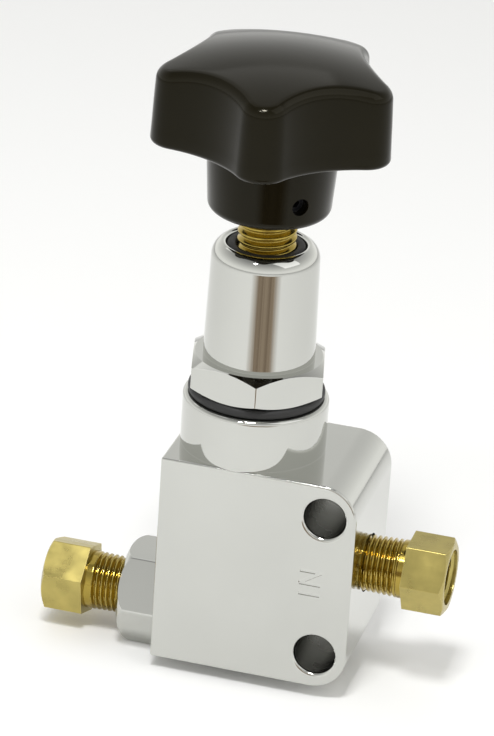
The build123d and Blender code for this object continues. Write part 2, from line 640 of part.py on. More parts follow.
def piston_o_ring():
    """The seal around the piston's land, under the backup ring."""
    inner_d = LAND_D + 2 * RUNNING_GAP
    section = (POCKET_D - inner_d) / 2
    return on_stem(o_ring(inner_d, section, GLAND_BOTTOM_Z + section / 2 + REST_GAP))


def backup_ring():
    """The flat ring above the piston's seal."""
    top = GLAND_BOTTOM_Z + POCKET_DEPTH
    ring = disc(POCKET_D - 2 * ASSEMBLY_GAP, top - BACKUP_HEIGHT, top)
    return on_stem(ring - disc(LAND_D + 2 * RUNNING_GAP, top - 2 * BACKUP_HEIGHT, top + 1))


def inlet_cage():
    """The drilled sleeve that spreads the inlet flow and holds the seat down."""
    outer_d = MAIN_BORE_D - 2 * ASSEMBLY_GAP
    sleeve = disc(outer_d, SEAT_TOP_Z, GLAND_BOTTOM_Z)
    sleeve -= disc(outer_d - 2 * CAGE_WALL, SEAT_TOP_Z - 1, GLAND_BOTTOM_Z - CAGE_LIP)
    sleeve -= disc(LAND_D + 2 * RUNNING_GAP, SEAT_TOP_Z, GLAND_BOTTOM_Z + 1)
    half = CAGE_GROOVE_HEIGHT / 2
    groove = disc(outer_d + 1, -half, half) - disc(outer_d - 2 * CAGE_GROOVE_DEPTH, -half, half)
    sleeve -= groove
    for index in range(CAGE_HOLE_COUNT):
        turn = Rot(0, 0, index * 360 / CAGE_HOLE_COUNT)
        sleeve -= turn * Rot(0, 90, 0) * Cylinder(CAGE_HOLE_D / 2, outer_d, align=FROM_BASE)
    return on_stem(sleeve)


def valve_seat():
    """The ring on the shoulder above the outlet chamber."""
    ring = disc(MAIN_BORE_D - 2 * ASSEMBLY_GAP, SEAT_SHOULDER_Z, SEAT_TOP_Z)
    ring -= disc(SEAT_BORE_D, SEAT_SHOULDER_Z - 1, SEAT_TOP_Z + 1)
    return on_stem(ring - disc(SEAT_SEAL_D, SEAT_SHOULDER_Z - 1, SEAT_SEAL_Z + SEAT_SEAL_HEIGHT))


def seat_seal():
    """The rubber ring that the piston's head closes against."""
    ring = disc(SEAT_SEAL_D, SEAT_SEAL_Z, SEAT_SEAL_Z + SEAT_SEAL_HEIGHT)
    return on_stem(ring - disc(SEAT_BORE_D, SEAT_SEAL_Z - 1, SEAT_TOP_Z))


PIECES = [
    valve_body,
    outlet_plug,
    outlet_plug_o_ring,
    inlet_adapter,
    outlet_adapter,
    bonnet,
    bonnet_o_ring,
    stem_dust_seal,
    adjuster_screw,
    stem_retaining_ring,
    knob,
    knob_insert,
    knob_set_screw,
    thrust_ball,
    upper_spring_seat,
    lower_spring_seat,
    main_spring,
    piston,
    piston_gland,
    gland_o_ring,
    piston_o_ring,
    backup_ring,
    inlet_cage,
    valve_seat,
    seat_seal,
]

os.makedirs("parts", exist_ok=True)
for piece in PIECES:
    export_step(piece(), f"parts/{piece.__name__}.step")
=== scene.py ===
"""Looks for an adjustable proportioning valve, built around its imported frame. Metres, +Z up."""

import contextlib
import json
import logging
import math
from dataclasses import dataclass, field
from enum import Enum
from typing import Callable, Iterator

import bpy
from mathutils import Euler, Matrix, Vector


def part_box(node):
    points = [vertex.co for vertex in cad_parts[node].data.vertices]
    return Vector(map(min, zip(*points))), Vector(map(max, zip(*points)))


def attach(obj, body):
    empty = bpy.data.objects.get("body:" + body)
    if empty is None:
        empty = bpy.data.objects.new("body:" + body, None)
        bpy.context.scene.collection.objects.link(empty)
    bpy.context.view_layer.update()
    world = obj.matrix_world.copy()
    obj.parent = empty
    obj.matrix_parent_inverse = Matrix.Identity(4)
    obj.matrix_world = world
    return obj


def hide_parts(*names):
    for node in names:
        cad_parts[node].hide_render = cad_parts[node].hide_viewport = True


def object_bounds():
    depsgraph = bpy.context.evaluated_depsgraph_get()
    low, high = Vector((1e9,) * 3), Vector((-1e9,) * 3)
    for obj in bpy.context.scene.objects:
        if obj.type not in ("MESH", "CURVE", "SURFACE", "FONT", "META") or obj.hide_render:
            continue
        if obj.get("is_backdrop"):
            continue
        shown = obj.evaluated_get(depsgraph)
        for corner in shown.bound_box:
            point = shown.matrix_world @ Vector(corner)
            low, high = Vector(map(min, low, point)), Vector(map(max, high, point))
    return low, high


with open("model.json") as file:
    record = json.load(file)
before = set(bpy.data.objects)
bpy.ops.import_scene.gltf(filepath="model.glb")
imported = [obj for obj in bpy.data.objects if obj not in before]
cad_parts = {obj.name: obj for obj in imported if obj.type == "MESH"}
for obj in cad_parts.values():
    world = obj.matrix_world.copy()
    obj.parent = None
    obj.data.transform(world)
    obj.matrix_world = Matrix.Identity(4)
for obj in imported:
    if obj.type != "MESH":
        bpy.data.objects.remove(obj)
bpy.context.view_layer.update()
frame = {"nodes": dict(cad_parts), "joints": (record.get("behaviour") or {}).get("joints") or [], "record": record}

LOG = logging.getLogger("valve")
MM = 0.001
TURN = 2 * math.pi
WELD = 2e-7
TURNED_FACE = 0.49
TURNED_SLOPE = math.radians(30)
COARSE_SHARE = 0.17
SPECK_SHARE = 14.0

Point = tuple[float, float]
Node = bpy.types.Node
Socket = bpy.types.NodeSocket


class Slot(Enum):
    """The record's material slots, by which the CAD nodes that stay take their finish."""

    ALUMINIUM = "polished_aluminium"
    BRASS = "brass"
    PHENOLIC = "black_phenolic"
    RUBBER = "black_rubber"
    SEAL = "seal_plastic"
    STEEL = "spring_steel"
    BLACKENED = "blackened_steel"


class Join(Enum):
    """The ways in which one solid is combined with another."""

    ADD = "UNION"
    CUT = "DIFFERENCE"
    KEEP = "INTERSECT"


# --- Bench tools: the operators that every piece is made with -----------------------------


def focus(piece: bpy.types.Object) -> None:
    """Select one piece alone and make it active."""
    bpy.ops.object.select_all(action="DESELECT")
    piece.select_set(True)
    bpy.context.view_layer.objects.active = piece


@contextlib.contextmanager
def editing(piece: bpy.types.Object, edges: bool = False) -> Iterator[None]:
    """Open a piece in edit mode and close it again.

    Args:
        piece: The object to edit.
        edges: Select by edge instead of by vertex.
    """
    focus(piece)
    bpy.context.tool_settings.mesh_select_mode = (not edges, edges, False)
    bpy.ops.object.mode_set(mode="EDIT")
    yield
    bpy.ops.object.mode_set(mode="OBJECT")


def settle(piece: bpy.types.Object, place: Vector, turn: Euler | None = None) -> bpy.types.Object:
    """Move a piece modelled about the origin to its place, and put the move in its mesh.

    Args:
        piece: The object to move.
        place: Where its own origin goes.
        turn: Its turn about that origin, if any.

    Returns:
        The same object, with its own origin back at the frame's origin.
    """
    piece.location = place
    piece.rotation_euler = turn or Euler((0, 0, 0))
    focus(piece)
    bpy.ops.object.transform_apply(location=True, rotation=True, scale=True)
    return piece


def named(name: str) -> bpy.types.Object:
    """Give the active object and its mesh a name, and return the object."""
    piece = bpy.context.active_object
    piece.name = name
    piece.data.name = name
    return piece


def rod(name: str, radius: float, bottom: float, top: float, sides: int = 96) -> bpy.types.Object:
    """Add an upright round or many-sided bar about Z.

    Args:
        name: The object's name.
        radius: To the corners.
        bottom: Height of its lower end.
        top: Height of its upper end.
        sides: Number of sides.

    Returns:
        The new object.
    """
    bpy.ops.object.select_all(action="DESELECT")
    middle, depth = (0, 0, (bottom + top) / 2), top - bottom
    bpy.ops.mesh.primitive_cylinder_add(vertices=sides, radius=radius, depth=depth, location=middle)
    return settle(named(name), Vector(middle))


def block(name: str, low: Vector, high: Vector) -> bpy.types.Object:
    """Add a box between two corners."""
    bpy.ops.object.select_all(action="DESELECT")
    bpy.ops.mesh.primitive_cube_add(size=1, location=(low + high) / 2)
    piece = named(name)
    piece.scale = high - low
    return settle(piece, (low + high) / 2)


def lathe(name: str, outline: list[Point], steps: int = 96, closed: bool = True) -> bpy.types.Object:
    """Draw an outline of (radius, height) points and spin it about Z.

    Args:
        name: The object's name.
        outline: Its points in order; an outline that isn't closed starts and ends on the axis.
        steps: Number of steps in the full turn.
        closed: Whether the last point joins the first.

    Returns:
        The new object, with its faces pointing outwards.
    """
    bpy.ops.object.select_all(action="DESELECT")
    bpy.ops.mesh.primitive_plane_add(size=MM, location=(0, 0, 0))
    piece = named(name)
    points = [Vector((radius, 0, height)) for radius, height in outline]
    if closed:
        points.append(points[0])
    with editing(piece):
        bpy.ops.mesh.select_all(action="SELECT")
        bpy.ops.mesh.merge(type="CENTER")
        bpy.ops.transform.translate(value=points[0])
        for before, after in zip(points, points[1:]):
            bpy.ops.mesh.extrude_vertices_move(TRANSFORM_OT_translate={"value": after - before})
        bpy.ops.mesh.select_all(action="SELECT")
        bpy.ops.mesh.spin(steps=steps, angle=TURN, center=(0, 0, 0), axis=(0, 0, 1))
        bpy.ops.mesh.select_all(action="SELECT")
        bpy.ops.mesh.remove_doubles(threshold=WELD)
        bpy.ops.mesh.normals_make_consistent(inside=False)
    return piece


def wrapped(
    name: str, columns: int, rows: int, place: Callable[[float, int], Vector]
) -> bpy.types.Object:
    """Wrap a grid around Z, each row a closed ring.

    Args:
        name: The object's name.
        columns: Number of faces around.
        rows: Number of rings.
        place: Called with the share of the way round and the ring's number, for each point.

    Returns:
        The new object, welded where the grid meets itself.
    """
    bpy.ops.object.select_all(action="DESELECT")
    bpy.ops.mesh.primitive_grid_add(x_subdivisions=columns, y_subdivisions=rows - 1, size=1)
    piece = named(name)
    for vertex in piece.data.vertices:
        vertex.co = place((vertex.co.x + 0.5) % 1.0, round((vertex.co.y + 0.5) * (rows - 1)))
    with editing(piece):
        bpy.ops.mesh.select_all(action="SELECT")
        bpy.ops.mesh.remove_doubles(threshold=WELD)
        bpy.ops.mesh.normals_make_consistent(inside=False)
    return piece


def arc(centre: Point, radius: float, start: float, end: float, steps: int) -> list[Point]:
    """Points along an arc of an outline, with both of its ends.

    Args:
        centre: The arc's centre.
        radius: Its radius.
        start: Angle of its first point, in radians from the outward direction.
        end: Angle of its last point.
        steps: Number of chords.

    Returns:
        The points in order.
    """
    angles = [start + (end - start) * step / steps for step in range(steps + 1)]
    return [(centre[0] + radius * math.cos(a), centre[1] + radius * math.sin(a)) for a in angles]


def rounded(corners: list[tuple[float, float, float]], steps: int = 6) -> list[Point]:
    """Round the corners of a closed outline.

    Args:
        corners: (radius, height, corner radius) for each corner; 0 leaves it sharp.
        steps: Number of chords in each rounding.

    Returns:
        The outline's points.
    """
    points: list[Point] = []
    count = len(corners)
    for index, (x, y, size) in enumerate(corners):
        here = Vector((x, y))
        if size <= 0:
            points.append((x, y))
            continue
        back = (Vector(corners[index - 1][:2]) - here).normalized()
        ahead = (Vector(corners[(index + 1) % count][:2]) - here).normalized()
        half = back.angle(ahead) / 2
        centre = here + (back + ahead).normalized() * (size / math.sin(half))
        start = here + back * (size / math.tan(half)) - centre
        sweep = start.angle_signed(here + ahead * (size / math.tan(half)) - centre)
        for step in range(steps + 1):
            spoke = Matrix.Rotation(-sweep * step / steps, 2) @ start
            points.append((centre.x + spoke.x, centre.y + spoke.y))
    return points


def combine(piece: bpy.types.Object, tool: bpy.types.Object, how: Join) -> bpy.types.Object:
    """Combine a piece with a tool solid, and use the tool up.

    Args:
        piece: The solid that stays.
        tool: The solid that is added, cut away or kept.
        how: The way they are combined.

    Returns:
        The piece.
    """
    focus(piece)
    bpy.ops.object.modifier_add(type="BOOLEAN")
    modifier = piece.modifiers[-1]
    modifier.operation = how.value
    modifier.solver = "EXACT"
    modifier.object = tool
    bpy.ops.object.modifier_apply(modifier=modifier.name)
    bpy.data.objects.remove(tool, do_unlink=True)
    return piece


def bevel_where(
    piece: bpy.types.Object,
    width: float,
    segments: int,
    chosen: Callable[[Vector, Vector], bool],
    sharper_than: float = 25.0,
) -> None:
    """Round the sharp edges of a piece that a test picks.

    Args:
        piece: The object to work on.
        width: Width of the rounding on each face.
        segments: Number of faces across the rounding.
        chosen: Called with an edge's middle and its direction.
        sharper_than: Least angle between an edge's faces, in degrees.
    """
    with editing(piece, edges=True):
        bpy.ops.mesh.select_all(action="DESELECT")
        bpy.ops.mesh.edges_select_sharp(sharpness=math.radians(sharper_than))
    mesh = piece.data
    sharp = [edge.index for edge in mesh.edges if edge.select]
    for group in (mesh.vertices, mesh.edges, mesh.polygons):
        group.foreach_set("select", [False] * len(group))
    for index in sharp:
        first, last = (mesh.vertices[v].co for v in mesh.edges[index].vertices)
        mesh.edges[index].select = chosen((first + last) / 2, (last - first).normalized())
    with editing(piece, edges=True):
        bpy.ops.mesh.bevel(
            offset=width, segments=segments, profile=0.5, affect="EDGES", clamp_overlap=False
        )


def polish(piece: bpy.types.Object, angle: float = 32.0) -> bpy.types.Object:
    """Shade a piece smooth up to an angle, with its flat faces kept flat.

    Args:
        piece: The object to shade.
        angle: Edges sharper than this stay crisp, in degrees.

    Returns:
        The piece.
    """
    focus(piece)
    bpy.ops.object.shade_smooth_by_angle(angle=math.radians(angle))
    bpy.ops.object.modifier_add(type="WEIGHTED_NORMAL")
    modifier = piece.modifiers[-1]
    modifier.keep_sharp = True
    modifier.weight = 90
    bpy.ops.object.modifier_apply(modifier=modifier.name)
    return piece


@dataclass(frozen=True)
class Thread:
    """A screw thread, cut as a helix into the rings of a turned surface about Z."""

    pitch: float
    depth: float
    crest_share: float = 0.18
    fullness: float = 1.12
    fade: float = 0.6
    rings_per_turn: int = 10

    def heights(self, bottom: float, top: float) -> list[float]:
        """Heights of the rings that the thread needs between two ends."""
        count = max(2, round((top - bottom) / self.pitch * self.rings_per_turn))
        return [bottom + (top - bottom) * index / count for index in range(count + 1)]

    def cut(self, piece: bpy.types.Object, radius: float, bottom: float, top: float) -> None:
        """Sink the thread's groove into a turned surface.

        Args:
            piece: The turned object, about Z.
            radius: Least distance from the axis of the surface to cut.
            bottom: Lower end of the thread.
            top: Upper end of the thread.
        """
        for vertex in piece.data.vertices:
            place = vertex.co
            distance = math.hypot(place.x, place.y)
            if distance < radius - WELD or not bottom + WELD < place.z < top - WELD:
                continue
            phase = (place.z / self.pitch - math.atan2(place.y, place.x) / TURN) % 1.0
            groove = max(0.0, 1.0 - abs(phase - 0.5) / (0.5 - self.crest_share / 2))
            ends = min(place.z - bottom, top - place.z) / (self.fade * self.pitch)
            sink = self.depth * min(1.0, groove * self.fullness) * min(1.0, ends)
            scale = (distance - sink) / distance
            vertex.co = Vector((place.x * scale, place.y * scale, place.z))
        piece.data.update()


def hexagon(name: str, across_flats: float, bottom: float, top: float, turn: float) -> bpy.types.Object:
    """Add a hexagonal bar about Z; turn 0 has a corner on -Y, in degrees."""
    bar = rod(name, across_flats / math.sqrt(3), bottom, top, sides=6)
    return settle(bar, Vector(), Euler((0, 0, math.radians(turn))))


def turned_corners(
    across_flats: float, bottom: float, top: float, both_ends: bool
) -> bpy.types.Object:
    """The turned solid that a hexagon is kept inside, so that its corners slope off.

    Args:
        across_flats: The hexagon's size.
        bottom: Height of its lower end.
        top: Height of its upper end.
        both_ends: Slope the corners below too, and not only above.

    Returns:
        The solid, about Z.
    """
    corner = across_flats / math.sqrt(3)
    face = across_flats * TURNED_FACE
    drop = (corner - face) * math.tan(TURNED_SLOPE)
    foot = [(face, bottom), (corner, bottom + drop)] if both_ends else [(corner, bottom)]
    outline = [(0, bottom), *foot, (corner, top - drop), (face, top), (0, top)]
    return lathe("corners", outline, 120, closed=False)


# --- Finishes -----------------------------------------------------------------------------


class Nodes:
    """Adds and links the nodes of one material or node group."""

    def __init__(self, tree: bpy.types.NodeTree) -> None:
        """Start on an empty tree."""
        self.tree = tree
        tree.nodes.clear()

    def add(self, kind: str, values: dict[str, object] | None = None, **settings: object) -> Node:
        """Add a node.

        Args:
            kind: The node's type, without its ShaderNode prefix.
            values: Values or source sockets by input name.
            settings: Properties of the node.

        Returns:
            The new node.
        """
        prefix = "" if kind.startswith("NodeGroup") else "ShaderNode"
        node = self.tree.nodes.new(prefix + kind)
        for key, value in settings.items():
            setattr(node, key, value)
        for key, value in (values or {}).items():
            self.feed(node.inputs[key], value)
        return node

    def feed(self, target: Socket, value: object) -> None:
        """Link a socket to a source, or set its value."""
        if isinstance(value, bpy.types.NodeSocket):
            self.tree.links.new(value, target)
        else:
            target.default_value = value

    def place(self, group: str, values: dict[str, object]) -> Node:
        """Add one of the shared node groups, with its own values."""
        return self.add("Group", values, node_tree=bpy.data.node_groups[group])

    def math(self, operation: str, first: object, second: object) -> Socket:
        """Add a math node and return its output."""
        node = self.add("Math", operation=operation)
        self.feed(node.inputs[0], first)
        self.feed(node.inputs[1], second)
        return node.outputs[0]

    def ramp(self, source: Socket, low: float, high: float, first: float, last: float) -> Socket:
        """Map a range of values onto another and return the result."""
        values = {"Value": source, "From Min": low, "From Max": high, "To Min": first, "To Max": last}
        return self.add("MapRange", values).outputs["Result"]

    def mix(self, share: object, first: object, second: object) -> Socket:
        """Mix two colours and return the result."""
        node = self.add("Mix", data_type="RGBA")
        self.feed(node.inputs["Factor"], share)
        self.feed(node.inputs[6], first)
        self.feed(node.inputs[7], second)
        return node.outputs[2]


def open_group(name: str, inputs: dict[str, float], outputs: list[str]) -> tuple[Nodes, Node, Node]:
    """Start a node group with plain number inputs and outputs.

    Args:
        name: The group's name.
        inputs: Input names and their usual values; a vector input is called Vector.
        outputs: Output names.

    Returns:
        The node builder, the group's input node and its output node.
    """
    group = bpy.data.node_groups.new(name, "ShaderNodeTree")
    for label, usual in inputs.items():
        kind = "NodeSocketVector" if label == "Vector" else "NodeSocketFloat"
        socket = group.interface.new_socket(name=label, in_out="INPUT", socket_type=kind)
        if label != "Vector":
            socket.default_value = usual
    for label in outputs:
        group.interface.new_socket(name=label, in_out="OUTPUT", socket_type="NodeSocketFloat")
    nodes = Nodes(group)
    return nodes, nodes.add("NodeGroupInput"), nodes.add("NodeGroupOutput")


def grain_group() -> bpy.types.NodeTree:
    """Fine scratches, as a height and as a mask of the deeper ones."""
    nodes, given, result = open_group("grain", {"Vector": 0, "Fineness": 900.0}, ["Height", "Mask"])
    place, fineness = given.outputs["Vector"], given.outputs["Fineness"]
    fine = nodes.add("TexNoise", {"Vector": place, "Scale": fineness, "Detail": 3.0})
    coarseness = nodes.math("MULTIPLY", fineness, COARSE_SHARE)
    coarse = nodes.add("TexNoise", {"Vector": place, "Scale": coarseness, "Detail": 2.0})
    nodes.feed(result.inputs["Height"], nodes.math("ADD", fine.outputs["Fac"], coarse.outputs["Fac"]))
    nodes.feed(result.inputs["Mask"], nodes.ramp(coarse.outputs["Fac"], 0.58, 0.72, 0.0, 1.0))
    return nodes.tree


def mottle_group() -> bpy.types.NodeTree:
    """Cloudy variation, and small specks, each from 0 to 1."""
    nodes, given, result = open_group("mottle", {"Vector": 0, "Size": 90.0}, ["Cloud", "Speck"])
    place, size = given.outputs["Vector"], given.outputs["Size"]
    cloud = nodes.add("TexNoise", {"Vector": place, "Scale": size, "Detail": 4.0})
    nodes.feed(result.inputs["Cloud"], nodes.ramp(cloud.outputs["Fac"], 0.25, 0.75, 0.0, 1.0))
    fine = nodes.math("MULTIPLY", size, SPECK_SHARE)
    speck = nodes.add("TexVoronoi", {"Vector": place, "Scale": fine})
    nodes.feed(result.inputs["Speck"], nodes.ramp(speck.outputs["Distance"], 0.0, 0.16, 1.0, 0.0))
    return nodes.tree


def wear_group() -> bpy.types.NodeTree:
    """Where a surface turns a sharp edge, broken up by noise, from 0 to 1."""
    nodes, given, result = open_group("edge_wear", {"Vector": 0, "Reach": 0.0002}, ["Edge"])
    soft = nodes.add("Bevel", {"Radius": given.outputs["Reach"]}, samples=4).outputs[0]
    plain = nodes.add("NewGeometry").outputs["Normal"]
    match = nodes.add("VectorMath", operation="DOT_PRODUCT")
    nodes.feed(match.inputs[0], soft)
    nodes.feed(match.inputs[1], plain)
    edge = nodes.ramp(match.outputs["Value"], 0.995, 0.93, 0.0, 1.0)
    patch = nodes.add("TexNoise", {"Vector": given.outputs["Vector"], "Scale": 1500.0, "Detail": 2.0})
    nodes.feed(result.inputs["Edge"], nodes.math("MULTIPLY", edge, patch.outputs["Fac"]))
    return nodes.tree


@dataclass(frozen=True)
class Finish:
    """A surface finish: its colours, its gloss and how strongly it is marked."""

    name: str
    colour: tuple[float, float, float]
    worn: tuple[float, float, float]
    metallic: float
    roughness: float
    roughness_spread: float = 0.06
    grain_scale: tuple[float, float, float] = (1.0, 1.0, 1.0)
    grain_fineness: float = 900.0
    grain_height: float = 0.00002
    mottle_size: float = 90.0
    mottle_share: float = 0.10
    speck_share: float = 0.0
    edge_share: float = 0.5
    edge_reach: float = 0.2 * MM
    ior: float = 1.5
    sheen: tuple[float, float, float] = (1.0, 1.0, 1.0)

    def material(self) -> bpy.types.Material:
        """Build the finish as a procedural material."""
        made = bpy.data.materials.new(self.name)
        made.use_nodes = True
        nodes = Nodes(made.node_tree)
        spot = nodes.add("TexCoord").outputs["Object"]
        drawn = nodes.add("Mapping", {"Vector": spot, "Scale": self.grain_scale}).outputs[0]
        grain = nodes.place("grain", {"Vector": drawn, "Fineness": self.grain_fineness})
        mottle = nodes.place("mottle", {"Vector": spot, "Size": self.mottle_size})
        wear = nodes.place("edge_wear", {"Vector": spot, "Reach": self.edge_reach})
        shade = tuple(channel * (1 - self.mottle_share) for channel in self.colour)
        cloudy = nodes.mix(mottle.outputs["Cloud"], (*shade, 1), (*self.colour, 1))
        specks = nodes.math("MULTIPLY", mottle.outputs["Speck"], self.speck_share)
        speckled = nodes.mix(specks, cloudy, (*shade, 1))
        edges = nodes.math("MULTIPLY", wear.outputs["Edge"], self.edge_share)
        edged = nodes.mix(edges, speckled, (*self.worn, 1))
        low, high = self.roughness - self.roughness_spread, self.roughness + self.roughness_spread
        gloss = nodes.ramp(mottle.outputs["Cloud"], 0.0, 1.0, low, high)
        scuffs = nodes.math("MULTIPLY", grain.outputs["Mask"], self.roughness_spread)
        scuffed = nodes.math("ADD", gloss, scuffs)
        relief = {"Height": grain.outputs["Height"], "Distance": self.grain_height, "Strength": 1.0}
        bump = nodes.add("Bump", relief).outputs[0]
        shader = nodes.add(
            "BsdfPrincipled",
            {"Base Color": edged, "Roughness": scuffed, "Normal": bump, "Metallic": self.metallic},
        )
        shader.inputs["IOR"].default_value = self.ior
        shader.inputs["Specular Tint"].default_value = (*self.sheen, 1)
        nodes.add("OutputMaterial", {"Surface": shader.outputs[0]})
        return made


@dataclass
class Finishes:
    """Every finish on the valve, made once."""

    block_aluminium: bpy.types.Material = field(init=False)
    turned_aluminium: bpy.types.Material = field(init=False)
    drilled_shaded_aluminium: bpy.types.Material = field(init=False)
    brass: bpy.types.Material = field(init=False)
    thread_brass: bpy.types.Material = field(init=False)
    phenolic: bpy.types.Material = field(init=False)
    rubber: bpy.types.Material = field(init=False)
    seal: bpy.types.Material = field(init=False)
    steel: bpy.types.Material = field(init=False)
    blackened: bpy.types.Material = field(init=False)

    def __post_init__(self) -> None:
        """Make the shared effects, then each finish."""
        grain_group()
        mottle_group()
        wear_group()
        silver, bright = (0.575, 0.58, 0.55), (0.85, 0.85, 0.84)
        # A darker grey that paints shade into the mounting holes.
        hole_shade = (0.3, 0.3, 0.28)
        gold, bright_gold = (0.53, 0.44, 0.145), (0.8, 0.7, 0.36)
        deep_gold = (0.42, 0.31, 0.065)
        along_x, along_z = (0.04, 1.0, 1.0), (1.0, 1.0, 0.04)
        around_y, around_z = (0.05, 1.0, 0.05), (0.03, 0.03, 1.0)
        self.block_aluminium = Finish(
            "block_aluminium", silver, bright, metallic=1.0, roughness=0.1, roughness_spread=0.03,
            grain_scale=along_z, grain_fineness=1400.0, grain_height=0.0006 * MM,
            mottle_size=70.0, mottle_share=0.05,
        ).material()
        self.turned_aluminium = Finish(
            "turned_aluminium", silver, bright, metallic=1.0, roughness=0.06, roughness_spread=0.02,
            grain_scale=around_z, grain_fineness=1600.0, grain_height=0.0002 * MM,
            mottle_size=70.0, mottle_share=0.04,
        ).material()
        # Drilled grain and roughness in the mounting holes, with a darker colour that paints shade into them.
        self.drilled_shaded_aluminium = Finish(
            "drilled_shaded_aluminium", hole_shade, silver, metallic=1.0, roughness=0.28, roughness_spread=0.06,
            grain_scale=around_y, grain_fineness=1300.0, grain_height=0.012 * MM,
            mottle_size=120.0, mottle_share=0.25,
        ).material()
        self.brass = Finish(
            "brass", gold, bright_gold, metallic=1.0, roughness=0.3, roughness_spread=0.08,
            grain_scale=along_x, grain_fineness=1500.0, grain_height=0.012 * MM,
            mottle_size=260.0, mottle_share=0.3, speck_share=0.35,
        ).material()
        self.thread_brass = Finish(
            "thread_brass", deep_gold, bright_gold, metallic=1.0, roughness=0.16, roughness_spread=0.04,
            grain_fineness=1200.0, grain_height=0.001 * MM,
            mottle_size=160.0, mottle_share=0.2, speck_share=0.3,
        ).material()
        self.phenolic = Finish(
            "phenolic", (0.006, 0.0048, 0.0014), (0.02, 0.019, 0.016), metallic=0.0, roughness=0.13,
            roughness_spread=0.03, grain_fineness=500.0, grain_height=0.002 * MM, mottle_size=60.0,
            mottle_share=0.3, speck_share=0.1, edge_share=0.1, ior=1.27, sheen=(1.0, 0.95, 0.78),
        ).material()
        self.rubber = Finish(
            "rubber", (0.014, 0.014, 0.014), (0.05, 0.05, 0.05), metallic=0.0, roughness=0.55,
            roughness_spread=0.08, grain_fineness=2500.0, grain_height=0.02 * MM,
        ).material()
        self.seal = Finish(
            "seal", (0.8, 0.78, 0.72), (0.86, 0.85, 0.8), metallic=0.0, roughness=0.5,
            roughness_spread=0.05, grain_fineness=1800.0, grain_height=0.01 * MM,
        ).material()
        self.steel = Finish(
            "steel", (0.58, 0.58, 0.59), (0.8, 0.8, 0.8), metallic=1.0, roughness=0.3,
            grain_scale=around_z, grain_fineness=1500.0, grain_height=0.006 * MM,
        ).material()
        self.blackened = Finish(
            "blackened", (0.035, 0.035, 0.04), (0.3, 0.3, 0.3), metallic=0.9, roughness=0.38,
            grain_fineness=1500.0, grain_height=0.006 * MM,
        ).material()


@dataclass
class Axes:
    """The lines that the valve is built on, read from the frame."""

    stem: Vector
    inlet: Vector
    outlet: Vector

    @classmethod
    def from_frame(cls) -> "Axes":
        """Take the stem from the knob's joint and the ports from their mounts."""
        joints = {joint["name"]: joint for joint in frame["joints"]}
        mounts = {mount["name"]: mount for mount in frame["record"]["mounts"]}
        stem = Vector(joints["knob_turn"]["pos_m"])
        stem.z = 0.0
        return cls(stem, Vector(mounts["inlet_port"]["pos_m"]), Vector(mounts["outlet_port"]["pos_m"]))


def dress(
    piece: bpy.types.Object, material: bpy.types.Material, slot: Slot, body: str, *nodes: str
) -> bpy.types.Object:
    """Give a finished piece its material, its body and the nodes it stands for.

    Args:
        piece: The finished object.
        material: Its finish.
        slot: The record's slot; not used.
        body: The CAD body that it rides on.
        nodes: The CAD nodes that it replaces.

    Returns:
        The piece.
    """
    piece.data.materials.clear()
    piece.data.materials.append(material)
    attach(piece, body)
    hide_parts(*nodes)
    LOG.info("%s rides on %s and stands for %s", piece.name, body, ", ".join(nodes))
    return piece


# --- Sub-assemblies -----------------------------------------------------------------------


